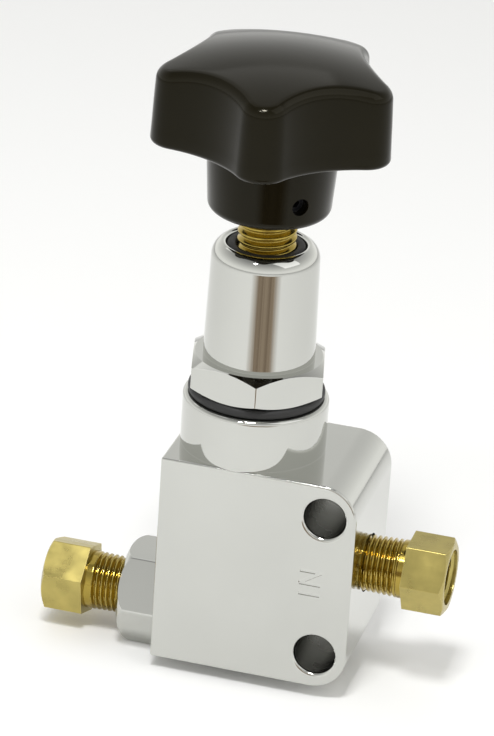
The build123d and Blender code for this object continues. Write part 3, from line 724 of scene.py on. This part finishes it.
@dataclass
class Body:
    """The block with its boss, bores, ports, mounting holes and inlet mark."""

    axes: Axes
    finishes: Finishes
    corner_radius: float = 6.1 * MM
    edge_radius: float = 0.4 * MM
    boss_radius: float = 12.5 * MM
    boss_edge: float = 0.8 * MM
    thread_radius: float = 9.55 * MM
    thread_floor: float = 13.95 * MM
    bore_radius: float = 6.55 * MM
    seat_shoulder: float = -5.9 * MM
    chamber_radius: float = 4.5 * MM
    chamber_floor: float = -16.6 * MM
    port_radius: float = 5.15 * MM
    port_depth: float = 7.0 * MM
    inlet_passage: float = 2.0 * MM
    outlet_passage: float = 2.5 * MM
    hole_radius: float = 3.55 * MM
    hole_flare: float = 0.7 * MM
    hole_height: float = 12.9 * MM
    letter_height: float = 3.7 * MM
    letter_width: float = 3.0 * MM
    letter_gap: float = 1.3 * MM
    stroke: float = 0.62 * MM
    engraving_depth: float = 0.2 * MM
    mark_inset: float = 7.2 * MM
    mark_rise: float = 0.6 * MM
    low: Vector = field(init=False)
    high: Vector = field(init=False)

    def __post_init__(self) -> None:
        """Read the block's corners from the frame; its top is level with its bottom."""
        low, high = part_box("valve_body")
        self.low, self.high = Vector(low), Vector(high)

    def blank(self) -> bpy.types.Object:
        """The block with its corners and edges rounded, joined to its boss."""
        top = -self.low.z
        shape = block("valve_body_shell", self.low, Vector((self.high.x, self.high.y, top)))
        right, middle = self.high.x - MM, (self.low.x + self.high.x) / 2
        bevel_where(shape, self.corner_radius, 14, lambda at, run: abs(run.y) > 0.9 and at.x > right)
        bevel_where(shape, self.edge_radius, 3, lambda at, run: abs(run.y) < 0.5 or at.x < middle)
        foot = top - 2 * self.edge_radius
        corners = [
            (0, foot, 0),
            (self.boss_radius, foot, 0),
            (self.boss_radius, self.high.z, self.boss_edge),
            (0, self.high.z, 0),
        ]
        boss = settle(lathe("boss", rounded(corners), 144, closed=False), self.axes.stem)
        return combine(shape, boss, Join.ADD)

    def stem_bores(self) -> bpy.types.Object:
        """The tool for the stepped bore on the stem axis."""
        above = self.high.z + MM
        outline = [
            (0, self.chamber_floor),
            (self.chamber_radius, self.chamber_floor),
            (self.chamber_radius, self.seat_shoulder),
            (self.bore_radius, self.seat_shoulder),
            (self.bore_radius, self.thread_floor),
            (self.thread_radius, self.thread_floor),
            (self.thread_radius, above),
            (0, above),
        ]
        return settle(lathe("stem_bores", outline, closed=False), self.axes.stem)

    def port(self, face_x: float, height: float, outward: int, passage: float) -> bpy.types.Object:
        """The tool for one port and the passage behind it.

        Args:
            face_x: The side face that the port opens in.
            height: Height of its axis.
            outward: 1 for the right face, -1 for the left.
            passage: Radius of the passage to the stem axis.
        """
        depth = abs(face_x - self.axes.stem.x)
        outline = [
            (0, -depth),
            (passage, -depth),
            (passage, -self.port_depth),
            (self.port_radius, -self.port_depth),
            (self.port_radius, MM),
            (0, MM),
        ]
        tool = lathe("port", outline, 64, closed=False)
        mouth = Vector((face_x, self.axes.stem.y, height))
        return settle(tool, mouth, Euler((0, outward * math.pi / 2, 0)))

    def mounting_hole(self, height: float) -> bpy.types.Object:
        """The tool for one mounting hole, flared at the front face."""
        depth = self.high.y - self.low.y
        flared = self.hole_radius + self.hole_flare
        mouth = arc((flared, depth - self.hole_flare), self.hole_flare, math.pi, math.pi / 2, 8)
        outline = [(0, -MM), (self.hole_radius, -MM), *mouth, (flared, depth + MM), (0, depth + MM)]
        tool = lathe("mounting_hole", outline, 72, closed=False)
        return settle(tool, Vector((0, 0, height)), Euler((math.pi / 2, 0, 0)))

    def letters(self) -> list[bpy.types.Object]:
        """The strokes of the inlet mark, which reads upwards."""
        half, tall = self.stroke / 2, self.letter_height / 2
        word = self.letter_width + self.letter_gap + self.stroke
        first = -word / 2 + half
        left, right = -word / 2 + self.stroke + self.letter_gap + half, word / 2 - half
        ends = [
            (Vector((first, -tall)), Vector((first, tall))),
            (Vector((left, -tall)), Vector((left, tall))),
            (Vector((right, -tall)), Vector((right, tall))),
            (Vector((left, tall)), Vector((right, -tall))),
        ]
        place = Vector((self.high.x - self.mark_inset, self.low.y, self.mark_rise))
        strokes = []
        for start, end in ends:
            run = end - start
            size = Vector((run.length / 2, half, self.engraving_depth))
            stroke = block("stroke", -size, size)
            middle = (start + end) / 2
            settle(stroke, middle.to_3d(), Euler((0, 0, math.atan2(run.y, run.x))))
            settle(stroke, Vector(), Euler((0, 0, math.pi / 2)))
            strokes.append(settle(stroke, place, Euler((math.pi / 2, 0, 0))))
        return strokes

    def build(self) -> bpy.types.Object:
        """Model the body and dress it."""
        shape = self.blank()
        tools = [
            self.stem_bores(),
            self.port(self.high.x, self.axes.inlet.z, 1, self.inlet_passage),
            self.port(self.low.x, self.axes.outlet.z, -1, self.outlet_passage),
            self.mounting_hole(self.hole_height),
            self.mounting_hole(-self.hole_height),
            *self.letters(),
        ]
        for tool in tools:
            combine(shape, tool, Join.CUT)
        polish(shape)
        dress(shape, self.finishes.block_aluminium, Slot.ALUMINIUM, "housing", "valve_body")
        self.finish_faces(shape)
        return shape

    def finish_faces(self, shape: bpy.types.Object) -> None:
        """Give the boss its turned finish and the mounting holes their drilled one, whose darker colour paints
        shade into the holes.
        """
        shape.data.materials.append(self.finishes.turned_aluminium)
        shape.data.materials.append(self.finishes.drilled_shaded_aluminium)
        for face in shape.data.polygons:
            at = face.center
            if at.z > -self.low.z + WELD:
                face.material_index = 1
            elif math.hypot(at.x, abs(at.z) - self.hole_height) < self.hole_radius:
                face.material_index = 2


@dataclass
class Bonnet:
    """The hexagon, its tapered tube with a rounded crown, and the ring under it."""

    axes: Axes
    finishes: Finishes
    across_flats: float = 22.2 * MM
    turn: float = 13.5
    hex_bottom: float = 29.85 * MM
    hex_top: float = 35.65 * MM
    hex_edge: float = 0.25 * MM
    tube_base: float = 9.55 * MM
    tube_top: float = 9.1 * MM
    crown_radius: float = 3.0 * MM
    mouth_radius: float = 6.75 * MM
    mouth_edge: float = 0.6 * MM
    mouth_floor: float = 53.35 * MM
    stem_radius: float = 5.06 * MM
    chamber_top: float = 47.35 * MM
    spigot_radius: float = 9.5 * MM
    spigot_top: float = 24.95 * MM
    neck_radius: float = 8.6 * MM
    seal_inner: float = 9.8 * MM
    seal_outer: float = 11.7 * MM
    seal_edge: float = 0.67 * MM
    lip_radius: float = 6.7 * MM
    lip_inset: float = 0.55 * MM
    lip_edge: float = 0.6 * MM
    low: float = field(init=False)
    high: float = field(init=False)

    def __post_init__(self) -> None:
        """Read the bonnet's ends from the frame."""
        low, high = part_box("bonnet")
        self.low, self.high = low[2], high[2]

    def hexagon(self) -> bpy.types.Object:
        """The hexagon, with its corners turned off above and below."""
        shape = hexagon("bonnet_shell", self.across_flats, self.hex_bottom, self.hex_top, self.turn)
        bevel_where(shape, self.hex_edge, 3, lambda at, run: abs(run.z) > 0.9)
        kept = turned_corners(self.across_flats, self.hex_bottom, self.hex_top, both_ends=True)
        return combine(shape, kept, Join.KEEP)

    def crown(self) -> list[Point]:
        """The arc over the tube's top and the rounding into the mouth, which meet smoothly."""
        lean = math.atan2(self.tube_base - self.tube_top, self.high - self.hex_top)
        inset = self.crown_radius / math.tan((math.pi / 2 + lean) / 2)
        centre = Vector((self.tube_top - inset, self.high - self.crown_radius))
        lip = self.mouth_radius + self.mouth_edge
        rise = math.sqrt((self.crown_radius - self.mouth_edge) ** 2 - (lip - centre.x) ** 2)
        meet = math.atan2(rise, lip - centre.x)
        over = arc(centre, self.crown_radius, lean, meet, 14)
        inward = arc((lip, centre.y + rise), self.mouth_edge, meet, math.pi, 8)
        return over + inward[1:]

    def tube(self) -> bpy.types.Object:
        """The tube with its mouth, the neck and the spigot as one solid bar."""
        outline = [
            (0, self.low),
            (self.spigot_radius, self.low),
            (self.spigot_radius, self.spigot_top),
            (self.neck_radius, self.spigot_top),
            (self.neck_radius, self.hex_top - MM),
            (self.tube_base, self.hex_top - MM),
            (self.tube_base, self.hex_top),
            *self.crown(),
            (self.mouth_radius, self.mouth_floor),
            (0, self.mouth_floor),
        ]
        return lathe("tube", outline, 160, closed=False)

    def bore(self) -> bpy.types.Object:
        """The tool for the stem's thread and the spring chamber."""
        outline = [
            (0, self.low - MM),
            (self.mouth_radius, self.low - MM),
            (self.mouth_radius, self.chamber_top),
            (self.stem_radius, self.chamber_top),
            (self.stem_radius, self.mouth_floor + MM),
            (0, self.mouth_floor + MM),
        ]
        return lathe("bore", outline, 128, closed=False)

    def build(self) -> bpy.types.Object:
        """Model the bonnet and dress it."""
        shape = combine(self.hexagon(), self.tube(), Join.ADD)
        combine(shape, self.bore(), Join.CUT)
        polish(settle(shape, self.axes.stem), 28.0)
        return dress(shape, self.finishes.turned_aluminium, Slot.ALUMINIUM, "housing", "bonnet")

    def build_seal(self) -> bpy.types.Object:
        """Model the squeezed ring between the boss and the hexagon, and dress it."""
        low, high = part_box("bonnet_o_ring")
        corners = [
            (self.seal_inner, low[2], self.seal_edge),
            (self.seal_outer, low[2], self.seal_edge),
            (self.seal_outer, high[2], self.seal_edge),
            (self.seal_inner, high[2], self.seal_edge),
        ]
        shape = settle(lathe("bonnet_seal", rounded(corners, 8), 128), self.axes.stem)
        polish(shape, 40.0)
        return dress(shape, self.finishes.rubber, Slot.RUBBER, "housing", "bonnet_o_ring")

    def build_wiper(self) -> bpy.types.Object:
        """Model the wiper that fills the mouth around the stem, and dress it."""
        low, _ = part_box("stem_dust_seal")
        top = self.high - self.lip_inset
        corners = [
            (self.stem_radius, low[2], 0),
            (self.lip_radius, low[2], 0),
            (self.lip_radius, top, self.lip_edge),
            (self.stem_radius, top, self.lip_edge),
        ]
        shape = settle(lathe("stem_wiper", rounded(corners, 8), 128), self.axes.stem)
        polish(shape, 40.0)
        return dress(shape, self.finishes.rubber, Slot.RUBBER, "housing", "stem_dust_seal")


@dataclass
class OutletPlug:
    """The hexagonal plug with a heavily rounded outer edge."""

    axes: Axes
    finishes: Finishes
    face_x: float = -29.0 * MM
    across_flats: float = 16.4 * MM
    length: float = 8.1 * MM
    edge_radius: float = 2.6 * MM
    corner_edge: float = 0.3 * MM
    spigot_length: float = 6.6 * MM
    spigot_radius: float = 5.1 * MM
    port_radius: float = 5.15 * MM
    port_floor: float = 2.5 * MM
    passage: float = 2.5 * MM
    groove_outer: float = 6.2 * MM
    groove_depth: float = 1.0 * MM
    thread: Thread = Thread(0.941 * MM, 0.5 * MM)

    def head(self) -> bpy.types.Object:
        """The hexagon, turned to a round edge at its outer end."""
        shape = hexagon("outlet_plug_shell", self.across_flats, 0, self.length, 0)
        bevel_where(shape, self.corner_edge, 3, lambda at, run: abs(run.z) > 0.9)
        corner = self.across_flats / math.sqrt(3)
        corners = [
            (0, 0, 0),
            (corner, 0, 0),
            (corner, self.length, self.edge_radius),
            (0, self.length, 0),
        ]
        return combine(shape, lathe("turned_edge", rounded(corners, 12), 144, closed=False), Join.KEEP)

    def spigot(self) -> bpy.types.Object:
        """The threaded end inside the body."""
        rings = self.thread.heights(-self.spigot_length, 0)
        side = [(self.spigot_radius, height) for height in rings]
        outline = [(0, -self.spigot_length), *side, (self.spigot_radius, MM), (0, MM)]
        shape = lathe("spigot", outline, 48, closed=False)
        self.thread.cut(shape, self.spigot_radius, -self.spigot_length, 0)
        return shape

    def bore(self) -> bpy.types.Object:
        """The tool for the adapter's port and the passage."""
        below, above = -self.spigot_length - MM, self.length + MM
        outline = [
            (0, below),
            (self.passage, below),
            (self.passage, self.port_floor),
            (self.port_radius, self.port_floor),
            (self.port_radius, above),
            (0, above),
        ]
        return lathe("plug_bore", outline, closed=False)

    def groove(self) -> bpy.types.Object:
        """The tool for the seal's groove under the head."""
        inner, outer, depth = self.port_radius, self.groove_outer, self.groove_depth
        return lathe("groove", [(inner, -MM), (outer, -MM), (outer, depth), (inner, depth)])

    def build(self) -> bpy.types.Object:
        """Model the plug and dress it."""
        shape = combine(self.head(), self.groove(), Join.CUT)
        combine(shape, self.spigot(), Join.ADD)
        combine(shape, self.bore(), Join.CUT)
        place = Vector((self.face_x, self.axes.stem.y, self.axes.outlet.z))
        polish(settle(shape, place, Euler((0, -math.pi / 2, 0))))
        return dress(shape, self.finishes.turned_aluminium, Slot.ALUMINIUM, "housing", "outlet_plug")


@dataclass
class Adapter:
    """A brass tube adapter: male pipe thread, hexagon and the tube nut's port."""

    axes: Axes
    finishes: Finishes
    node: str
    face: Vector
    outward: int
    turn: float
    thread_shown: float
    engaged: float = 5.0 * MM
    runout: float = 1.1 * MM
    radius: float = 5.1 * MM
    taper: float = 1 / 32
    across_flats: float = 11.9 * MM
    hex_length: float = 7.4 * MM
    hex_edge: float = 0.15 * MM
    bore_radius: float = 2.0 * MM
    port_depth: float = 7.2 * MM
    port_radius: float = 4.35 * MM
    relief_radius: float = 4.7 * MM
    seat_radius: float = 3.0 * MM
    seat_height: float = 2.0 * MM
    relief_rise: float = 0.3 * MM
    chamfer: float = 0.5 * MM
    outer_thread: Thread = Thread(0.941 * MM, 0.56 * MM)
    inner_thread: Thread = Thread(1.058 * MM, 0.45 * MM)

    def shank(self) -> bpy.types.Object:
        """The tapered male thread and the plain length beside the hexagon."""
        bottom, top = -self.engaged, self.thread_shown - self.runout
        rings = self.outer_thread.heights(bottom, top)
        outline = [(0.0, bottom)]
        outline += [(self.radius - self.taper * (top - height), height) for height in rings]
        outline += [(self.radius, self.thread_shown + MM), (0.0, self.thread_shown + MM)]
        shape = lathe("shank", outline, 80, closed=False)
        self.outer_thread.cut(shape, self.radius - self.taper * (top - bottom), bottom, top)
        return shape

    def head(self) -> bpy.types.Object:
        """The hexagon, with its corners turned off at the outer end."""
        bottom, top = self.thread_shown, self.thread_shown + self.hex_length
        shape = hexagon(self.node + "_shell", self.across_flats, bottom, top, self.turn)
        bevel_where(shape, self.hex_edge, 3, lambda at, run: abs(run.z) > 0.9)
        kept = turned_corners(self.across_flats, bottom, top, both_ends=False)
        return combine(shape, kept, Join.KEEP)

    def port(self) -> bpy.types.Object:
        """The tool for the bore, the flare seat and the female thread."""
        mouth = self.thread_shown + self.hex_length
        floor = mouth - self.port_depth
        relief_top = floor + self.seat_height + self.relief_rise
        crest = self.port_radius + self.inner_thread.depth
        start, end = relief_top, mouth - self.chamfer
        outline = [
            (0.0, -self.engaged - MM),
            (self.bore_radius, -self.engaged - MM),
            (self.bore_radius, floor + self.seat_height),
            (self.seat_radius, floor),
            (self.relief_radius, floor),
            (self.relief_radius, relief_top),
            *((crest, height) for height in self.inner_thread.heights(start, end)),
            (self.port_radius + self.chamfer, mouth),
            (self.port_radius + self.chamfer, mouth + MM),
            (0.0, mouth + MM),
        ]
        tool = lathe("port_tool", outline, 80, closed=False)
        self.inner_thread.cut(tool, crest, start, end)
        return tool

    def build(self) -> bpy.types.Object:
        """Model the adapter and dress it."""
        shape = combine(self.head(), self.shank(), Join.ADD)
        combine(shape, self.port(), Join.CUT)
        polish(settle(shape, self.face, Euler((0, self.outward * math.pi / 2, 0))))
        dress(shape, self.finishes.brass, Slot.BRASS, "housing", self.node)
        shape.data.materials.append(self.finishes.thread_brass)
        hex_start = abs(self.face.x) + self.thread_shown
        for face in shape.data.polygons:
            face.material_index = int(abs(face.center.x) < hex_start - WELD)
        return shape


@dataclass
class Stem:
    """The brass screw that the knob turns."""

    axes: Axes
    finishes: Finishes
    radius: float = 5.0 * MM
    groove_radius: float = 4.4 * MM
    groove_bottom: float = 41.8 * MM
    groove_top: float = 42.6 * MM
    thread_start: float = 45.2 * MM
    thread_end: float = 62.0 * MM
    dimple_radius: float = 2.05 * MM
    thread: Thread = Thread(1.5 * MM, 0.7 * MM, 0.2, rings_per_turn=20)

    def build(self) -> bpy.types.Object:
        """Model the screw and dress it."""
        low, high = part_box("adjuster_screw")
        bottom, top = low[2], high[2]
        turns = self.thread.heights(self.thread_start, self.thread_end)
        outline = [
            *arc((0.0, bottom), self.dimple_radius, math.pi / 2, 0.0, 8),
            (self.radius, bottom),
            (self.radius, self.groove_bottom),
            (self.groove_radius, self.groove_bottom),
            (self.groove_radius, self.groove_top),
            (self.radius, self.groove_top),
            *((self.radius, height) for height in turns),
            (self.radius, top),
            (0.0, top),
        ]
        shape = lathe("adjuster_screw_shell", outline, 144, closed=False)
        self.thread.cut(shape, self.radius, self.thread_start, self.thread_end)
        polish(settle(shape, self.axes.stem), 60.0)
        return dress(shape, self.finishes.thread_brass, Slot.BRASS, "adjuster", "adjuster_screw")


@dataclass
class Knob:
    """The moulded knob: five lobes under a dome, on a tapered hub."""

    axes: Axes
    finishes: Finishes
    lobes: int = 5
    turn: float = 8.0
    reach: float = 20.7 * MM
    tip_radius: float = 4.6 * MM
    valley_radius: float = 20.0 * MM
    wall: float = 12.4 * MM
    draft: float = 2.0
    crown: float = 3.8 * MM
    top_edge: float = 2.2 * MM
    bottom_edge: float = 1.0 * MM
    hub_radius: float = 10.3 * MM
    hub_height: float = 12.1 * MM
    hub_draft: float = 4.0
    hub_edge: float = 1.6 * MM
    insert_radius: float = 6.5 * MM
    insert_length: float = 15.0 * MM
    screw_radius: float = 1.5 * MM
    screw_rise: float = 4.4 * MM
    screw_turn: float = 43.0
    columns: int = 200
    bottom: float = field(init=False)
    lobe_bottom: float = field(init=False)

    def __post_init__(self) -> None:
        """Read the hub's lower end from the frame."""
        low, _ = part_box("knob")
        self.bottom = low[2]
        self.lobe_bottom = self.bottom + self.hub_height

    def outline(self, share: float, offset: float) -> tuple[Vector, Vector]:
        """A point of the star, and its outward direction.

        Args:
            share: Way round, from 0 to 1.
            offset: Distance that the whole outline is moved inwards.
        """
        lobe, along = divmod(share * self.lobes, 1.0)
        side, near = (1, 2 * along) if along < 0.5 else (-1, 2 - 2 * along)
        heading = TURN * (lobe + (along >= 0.5)) / self.lobes + math.radians(self.turn) - math.pi / 2
        half = math.pi / self.lobes
        centre = self.reach - self.tip_radius
        span = self.valley_radius + self.tip_radius
        far = centre * math.cos(half) + math.sqrt(span**2 - (centre * math.sin(half)) ** 2)
        valley = Vector((far * math.cos(half), far * math.sin(half)))
        meet = math.atan2(valley.y, valley.x - centre)
        if near < 0.5:
            angle = meet * near * 2
            ray = Vector((math.cos(angle), math.sin(angle)))
            point = Vector((centre, 0)) + ray * (self.tip_radius - offset)
        else:
            angle = meet + (half - meet) * (near * 2 - 1)
            ray = Vector((math.cos(angle), math.sin(angle)))
            point = valley - ray * (self.valley_radius + offset)
        turned = Matrix.Rotation(heading, 2)
        return turned @ Vector((point.x, side * point.y)), turned @ Vector((ray.x, side * ray.y))

    def dome(self, distance: float) -> tuple[float, float]:
        """Height and slope of the crown at a distance from the axis."""
        ball = (self.reach**2 + self.crown**2) / (2 * self.crown)
        top = self.lobe_bottom + self.wall + self.crown
        return top - ball + math.sqrt(ball**2 - distance**2), math.asin(distance / ball)

    def round_ring(self, radius: float, height: float) -> Callable[[float], Vector]:
        """A ring of the hub, in step with the star above it."""

        def place(share: float) -> Vector:
            """Put one point of the ring on its circle."""
            point, _ = self.outline(share, 0.0)
            return (point.normalized() * radius).to_3d() + Vector((0, 0, height))

        return place

    def star_ring(self, offset: float, height: float) -> Callable[[float], Vector]:
        """A level ring of the star."""
        return lambda share: self.outline(share, offset)[0].to_3d() + Vector((0, 0, height))

    def edge_ring(self, rise: float, shrink: float) -> Callable[[float], Vector]:
        """A ring of the rounded top edge, or of the dome inside it.

        Args:
            rise: Share of the way up the rounding, from 0 to 1.
            shrink: Share of the way in from the rounding's end to the axis.
        """

        def place(share: float) -> Vector:
            """Put one point of the ring on the rounding or on the dome."""
            inset = math.tan(math.radians(self.draft)) * self.wall + self.top_edge
            point, out = self.outline(share, inset)
            height, slope = self.dome(point.length)
            fall = slope * out.dot(point.normalized())
            angle = (math.pi / 2 - fall) * rise
            middle = height - self.top_edge / math.cos(fall)
            edge = point + out * self.top_edge * math.cos(angle)
            if shrink > 0:
                edge = edge * (1 - shrink)
                return edge.to_3d() + Vector((0, 0, self.dome(edge.length)[0]))
            return edge.to_3d() + Vector((0, 0, middle + self.top_edge * math.sin(angle)))

        return place

    def rings(self) -> list[Callable[[float], Vector]]:
        """Every ring of the knob, from the insert's bore around to the middle of the dome."""
        hub_top = self.hub_radius + self.hub_height * math.tan(math.radians(self.hub_draft))
        bore_top = self.bottom + self.insert_length
        profile = [
            (0, bore_top, 0),
            (self.insert_radius, bore_top, 0),
            (self.insert_radius, self.bottom, 0),
            (self.hub_radius, self.bottom, self.hub_edge),
            (hub_top, self.lobe_bottom, 0),
        ]
        rings = [self.round_ring(radius, height) for radius, height in rounded(profile, 8)]
        for step in range(7):
            angle = math.pi / 2 * step / 6
            offset = self.bottom_edge * (1 - math.sin(angle))
            height = self.bottom_edge * (1 - math.cos(angle))
            rings.append(self.star_ring(offset, self.lobe_bottom + height))
        for step in range(1, 5):
            height = self.bottom_edge + (self.wall - 2 * self.top_edge) * step / 5
            offset = math.tan(math.radians(self.draft)) * height
            rings.append(self.star_ring(offset, self.lobe_bottom + height))
        rings += [self.edge_ring(step / 10, 0) for step in range(11)]
        rings += [self.edge_ring(1, 1 - (1 - step / 16) ** 1.2) for step in range(1, 17)]
        return rings

    def screw_hole(self) -> bpy.types.Object:
        """The tool for the set screw's hole, from the insert out through the hub."""
        tool = rod("screw_hole", self.screw_radius, self.insert_radius - MM, 2 * self.hub_radius, 40)
        heading = Euler((math.pi / 2, 0, math.radians(self.screw_turn)))
        return settle(tool, Vector((0, 0, self.bottom + self.screw_rise)), heading)

    def build(self) -> bpy.types.Object:
        """Model the knob and dress it."""
        rings = self.rings()
        shape = wrapped("knob_shell", self.columns, len(rings), lambda share, row: rings[row](share))
        combine(shape, self.screw_hole(), Join.CUT)
        settle(shape, self.axes.stem)
        focus(shape)
        bpy.ops.object.shade_smooth_by_angle(angle=math.radians(35))
        return dress(shape, self.finishes.phenolic, Slot.PHENOLIC, "adjuster", "knob")


def dress_inner_nodes(finishes: Finishes, replaced: set[str]) -> None:
    """Give each CAD node that stays in view its slot's finish.

    Args:
        finishes: The finishes.
        replaced: Names of the nodes that new pieces stand for.
    """
    by_slot = {
        Slot.ALUMINIUM.value: finishes.turned_aluminium,
        Slot.BRASS.value: finishes.thread_brass,
        Slot.PHENOLIC.value: finishes.phenolic,
        Slot.RUBBER.value: finishes.rubber,
        Slot.SEAL.value: finishes.seal,
        Slot.STEEL.value: finishes.steel,
        Slot.BLACKENED.value: finishes.blackened,
    }
    slots = {part["node"]: part["material_slot"] for part in frame["record"]["subparts"]}
    for name, node in frame["nodes"].items():
        if name in replaced:
            continue
        node.data.materials.clear()
        node.data.materials.append(by_slot[slots[name]])
        LOG.info("%s keeps its own mesh as %s", name, slots[name])


# --- Set: floor, light and camera ---------------------------------------------------------


def direction(bearing: float, rise: float) -> Vector:
    """Point outwards from the valve.

    Args:
        bearing: Degrees round from straight in front, anticlockwise from above.
        rise: Degrees above level.

    Returns:
        A vector of length 1.
    """
    turn, up = math.radians(bearing), math.radians(rise)
    return Vector((math.sin(turn) * math.cos(up), -math.cos(turn) * math.cos(up), math.sin(up)))


@dataclass
class Studio:
    """A pale floor, soft light from all round, a brown card in front, and the camera."""

    azimuth: float = 14.19
    elevation: float = 24.25
    roll: float = 3.91
    distance: float = 644.77 * MM
    aim: Vector = field(default_factory=lambda: Vector((-18.29, -12.73, 32.36)) * MM)
    lens: float = 186.06
    floor_size: float = 6.0
    flag_turn: float = 6.0
    lamp_distance: float = 0.6

    def camera(self) -> None:
        """Place the camera that the main picture is taken from."""
        back = direction(self.azimuth, self.elevation)
        turn, roll = math.radians(self.azimuth), math.radians(self.roll)
        right = Vector((math.cos(turn), math.sin(turn), 0))
        up = back.cross(right)
        across = right * math.cos(roll) + up * math.sin(roll)
        upward = up * math.cos(roll) - right * math.sin(roll)
        data = bpy.data.cameras.new("camera")
        data.lens = self.lens
        data.sensor_width = 36.0
        camera = bpy.data.objects.new("camera", data)
        facing = Matrix((across, upward, back)).transposed().to_4x4()
        camera.matrix_world = Matrix.Translation(self.aim + back * self.distance) @ facing
        bpy.context.scene.collection.objects.link(camera)
        bpy.context.scene.camera = camera

    def floor(self, level: float) -> None:
        """Add the floor that the valve stands on."""
        bpy.ops.object.select_all(action="DESELECT")
        bpy.ops.mesh.primitive_plane_add(size=self.floor_size, location=(0, 0, level))
        plane = named("floor")
        paper = bpy.data.materials.new("floor_paper")
        paper.use_nodes = True
        nodes = Nodes(paper.node_tree)
        shader = nodes.add("BsdfPrincipled", {"Base Color": (0.96, 0.96, 0.955, 1), "Roughness": 0.9})
        nodes.add("OutputMaterial", {"Surface": shader.outputs[0]})
        plane.data.materials.append(paper)
        plane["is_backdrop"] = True

    def world(self) -> None:
        """Light from all round, brighter near the horizon than overhead, in front of plain white."""
        world = bpy.data.worlds.new("studio")
        world.use_nodes = True
        bpy.context.scene.world = world
        nodes = Nodes(world.node_tree)
        ray = nodes.add("TexCoord").outputs["Generated"]
        split = nodes.add("SeparateXYZ", {"Vector": ray})
        height = nodes.ramp(split.outputs["Z"], 0.15, 0.85, 0.0, 1.0)
        tone = nodes.mix(height, (1.0, 1.0, 0.975, 1), (0.33, 0.33, 0.325, 1))
        seen = nodes.add("LightPath").outputs["Is Camera Ray"]
        sky = nodes.add("Background", {"Color": nodes.mix(seen, tone, (1, 1, 1, 1)), "Strength": 1.14})
        nodes.add("OutputWorld", {"Surface": sky.outputs[0]})

    def flag(self, distance: float, width: float, low: float, high: float) -> None:
        """Add a brown card in front, which only the polished metal mirrors.

        Args:
            distance: How far in front of the stem axis it stands.
            width: Its width.
            low: Height of its lower edge.
            high: Height of its upper edge.
        """
        bpy.ops.object.select_all(action="DESELECT")
        bpy.ops.mesh.primitive_plane_add(size=1)
        card = named("flag")
        card.scale = (width, high - low, 1)
        bearing = self.azimuth + self.flag_turn
        place = Vector((self.aim.x, self.aim.y, (low + high) / 2)) + direction(bearing, 0) * distance
        settle(card, place, Euler((math.pi / 2, 0, math.radians(bearing))))
        brown = bpy.data.materials.new("flag_card")
        brown.use_nodes = True
        nodes = Nodes(brown.node_tree)
        spot = nodes.add("TexCoord").outputs["UV"]
        across = nodes.add("SeparateXYZ", {"Vector": spot}).outputs["X"]
        fine = {"W": across, "Scale": 9.0, "Detail": 2.0}
        streaks = nodes.add("TexNoise", fine, noise_dimensions="1D")
        tone = nodes.mix(streaks.outputs["Fac"], (0.1, 0.06, 0.035, 1), (0.62, 0.5, 0.37, 1))
        glow = nodes.add("Emission", {"Color": tone, "Strength": 1.0})
        offset = nodes.math("ABSOLUTE", nodes.math("SUBTRACT", across, 0.5), 0.0)
        clear = nodes.add("BsdfTransparent")
        blend = nodes.add("MixShader", {"Fac": nodes.ramp(offset, 0.22, 0.48, 0.0, 1.0)})
        nodes.feed(blend.inputs[1], glow.outputs[0])
        nodes.feed(blend.inputs[2], clear.outputs[0])
        nodes.add("OutputMaterial", {"Surface": blend.outputs[0]})
        card.data.materials.append(brown)
        card.visible_camera = False
        card.visible_diffuse = False
        card.visible_shadow = False
        card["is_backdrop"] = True

    def lamp(self, name: str, bearing: float, rise: float, size: float, power: float) -> None:
        """Add a square soft light that faces the valve.

        Args:
            name: The light's name.
            bearing: Degrees round from straight in front, anticlockwise from above.
            rise: Degrees above level.
            size: Length of its side.
            power: Watts.
        """
        heading = direction(bearing, rise)
        data = bpy.data.lights.new(name, "AREA")
        data.size = size
        data.energy = power
        lamp = bpy.data.objects.new(name, data)
        lamp.location = self.aim + heading * self.lamp_distance
        lamp.rotation_euler = heading.to_track_quat("Z", "Y").to_euler()
        bpy.context.scene.collection.objects.link(lamp)

    def build(self) -> None:
        """Set up the whole studio."""
        low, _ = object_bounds()
        self.floor(low[2])
        self.world()
        self.flag(distance=0.1, width=0.12, low=-0.011, high=0.026)
        self.lamp("key", bearing=4, rise=66, size=0.1, power=1.7)
        self.lamp("window", bearing=-14, rise=56, size=0.05, power=0.3)
        self.lamp("fill", bearing=80, rise=50, size=0.4, power=0.4)
        self.lamp("back", bearing=-150, rise=62, size=0.5, power=0.4)
        self.camera()
        bpy.context.scene.view_settings.view_transform = "Standard"


def main() -> None:
    """Build every piece, dress the rest and set the stage."""
    logging.basicConfig(level=logging.INFO, format="%(name)s: %(message)s")
    axes = Axes.from_frame()
    finishes = Finishes()
    body = Body(axes, finishes)
    bonnet = Bonnet(axes, finishes)
    plug = OutletPlug(axes, finishes)
    right = Vector((body.high.x, axes.stem.y, axes.inlet.z))
    left = Vector((plug.face_x - plug.length, axes.stem.y, axes.outlet.z))
    inlet = Adapter(axes, finishes, "inlet_adapter", right, 1, 0.0, 7.1 * MM)
    outlet = Adapter(axes, finishes, "outlet_adapter", left, -1, 19.0, 6.8 * MM)
    stem, knob = Stem(axes, finishes), Knob(axes, finishes)
    for part in (body, bonnet, plug, inlet, outlet, stem, knob):
        part.build()
    bonnet.build_seal()
    bonnet.build_wiper()
    replaced = {"valve_body", "bonnet", "bonnet_o_ring", "stem_dust_seal", "outlet_plug"}
    dress_inner_nodes(finishes, replaced | {inlet.node, outlet.node, "adjuster_screw", "knob"})
    Studio().build()


if __name__ == "__main__":
    main()
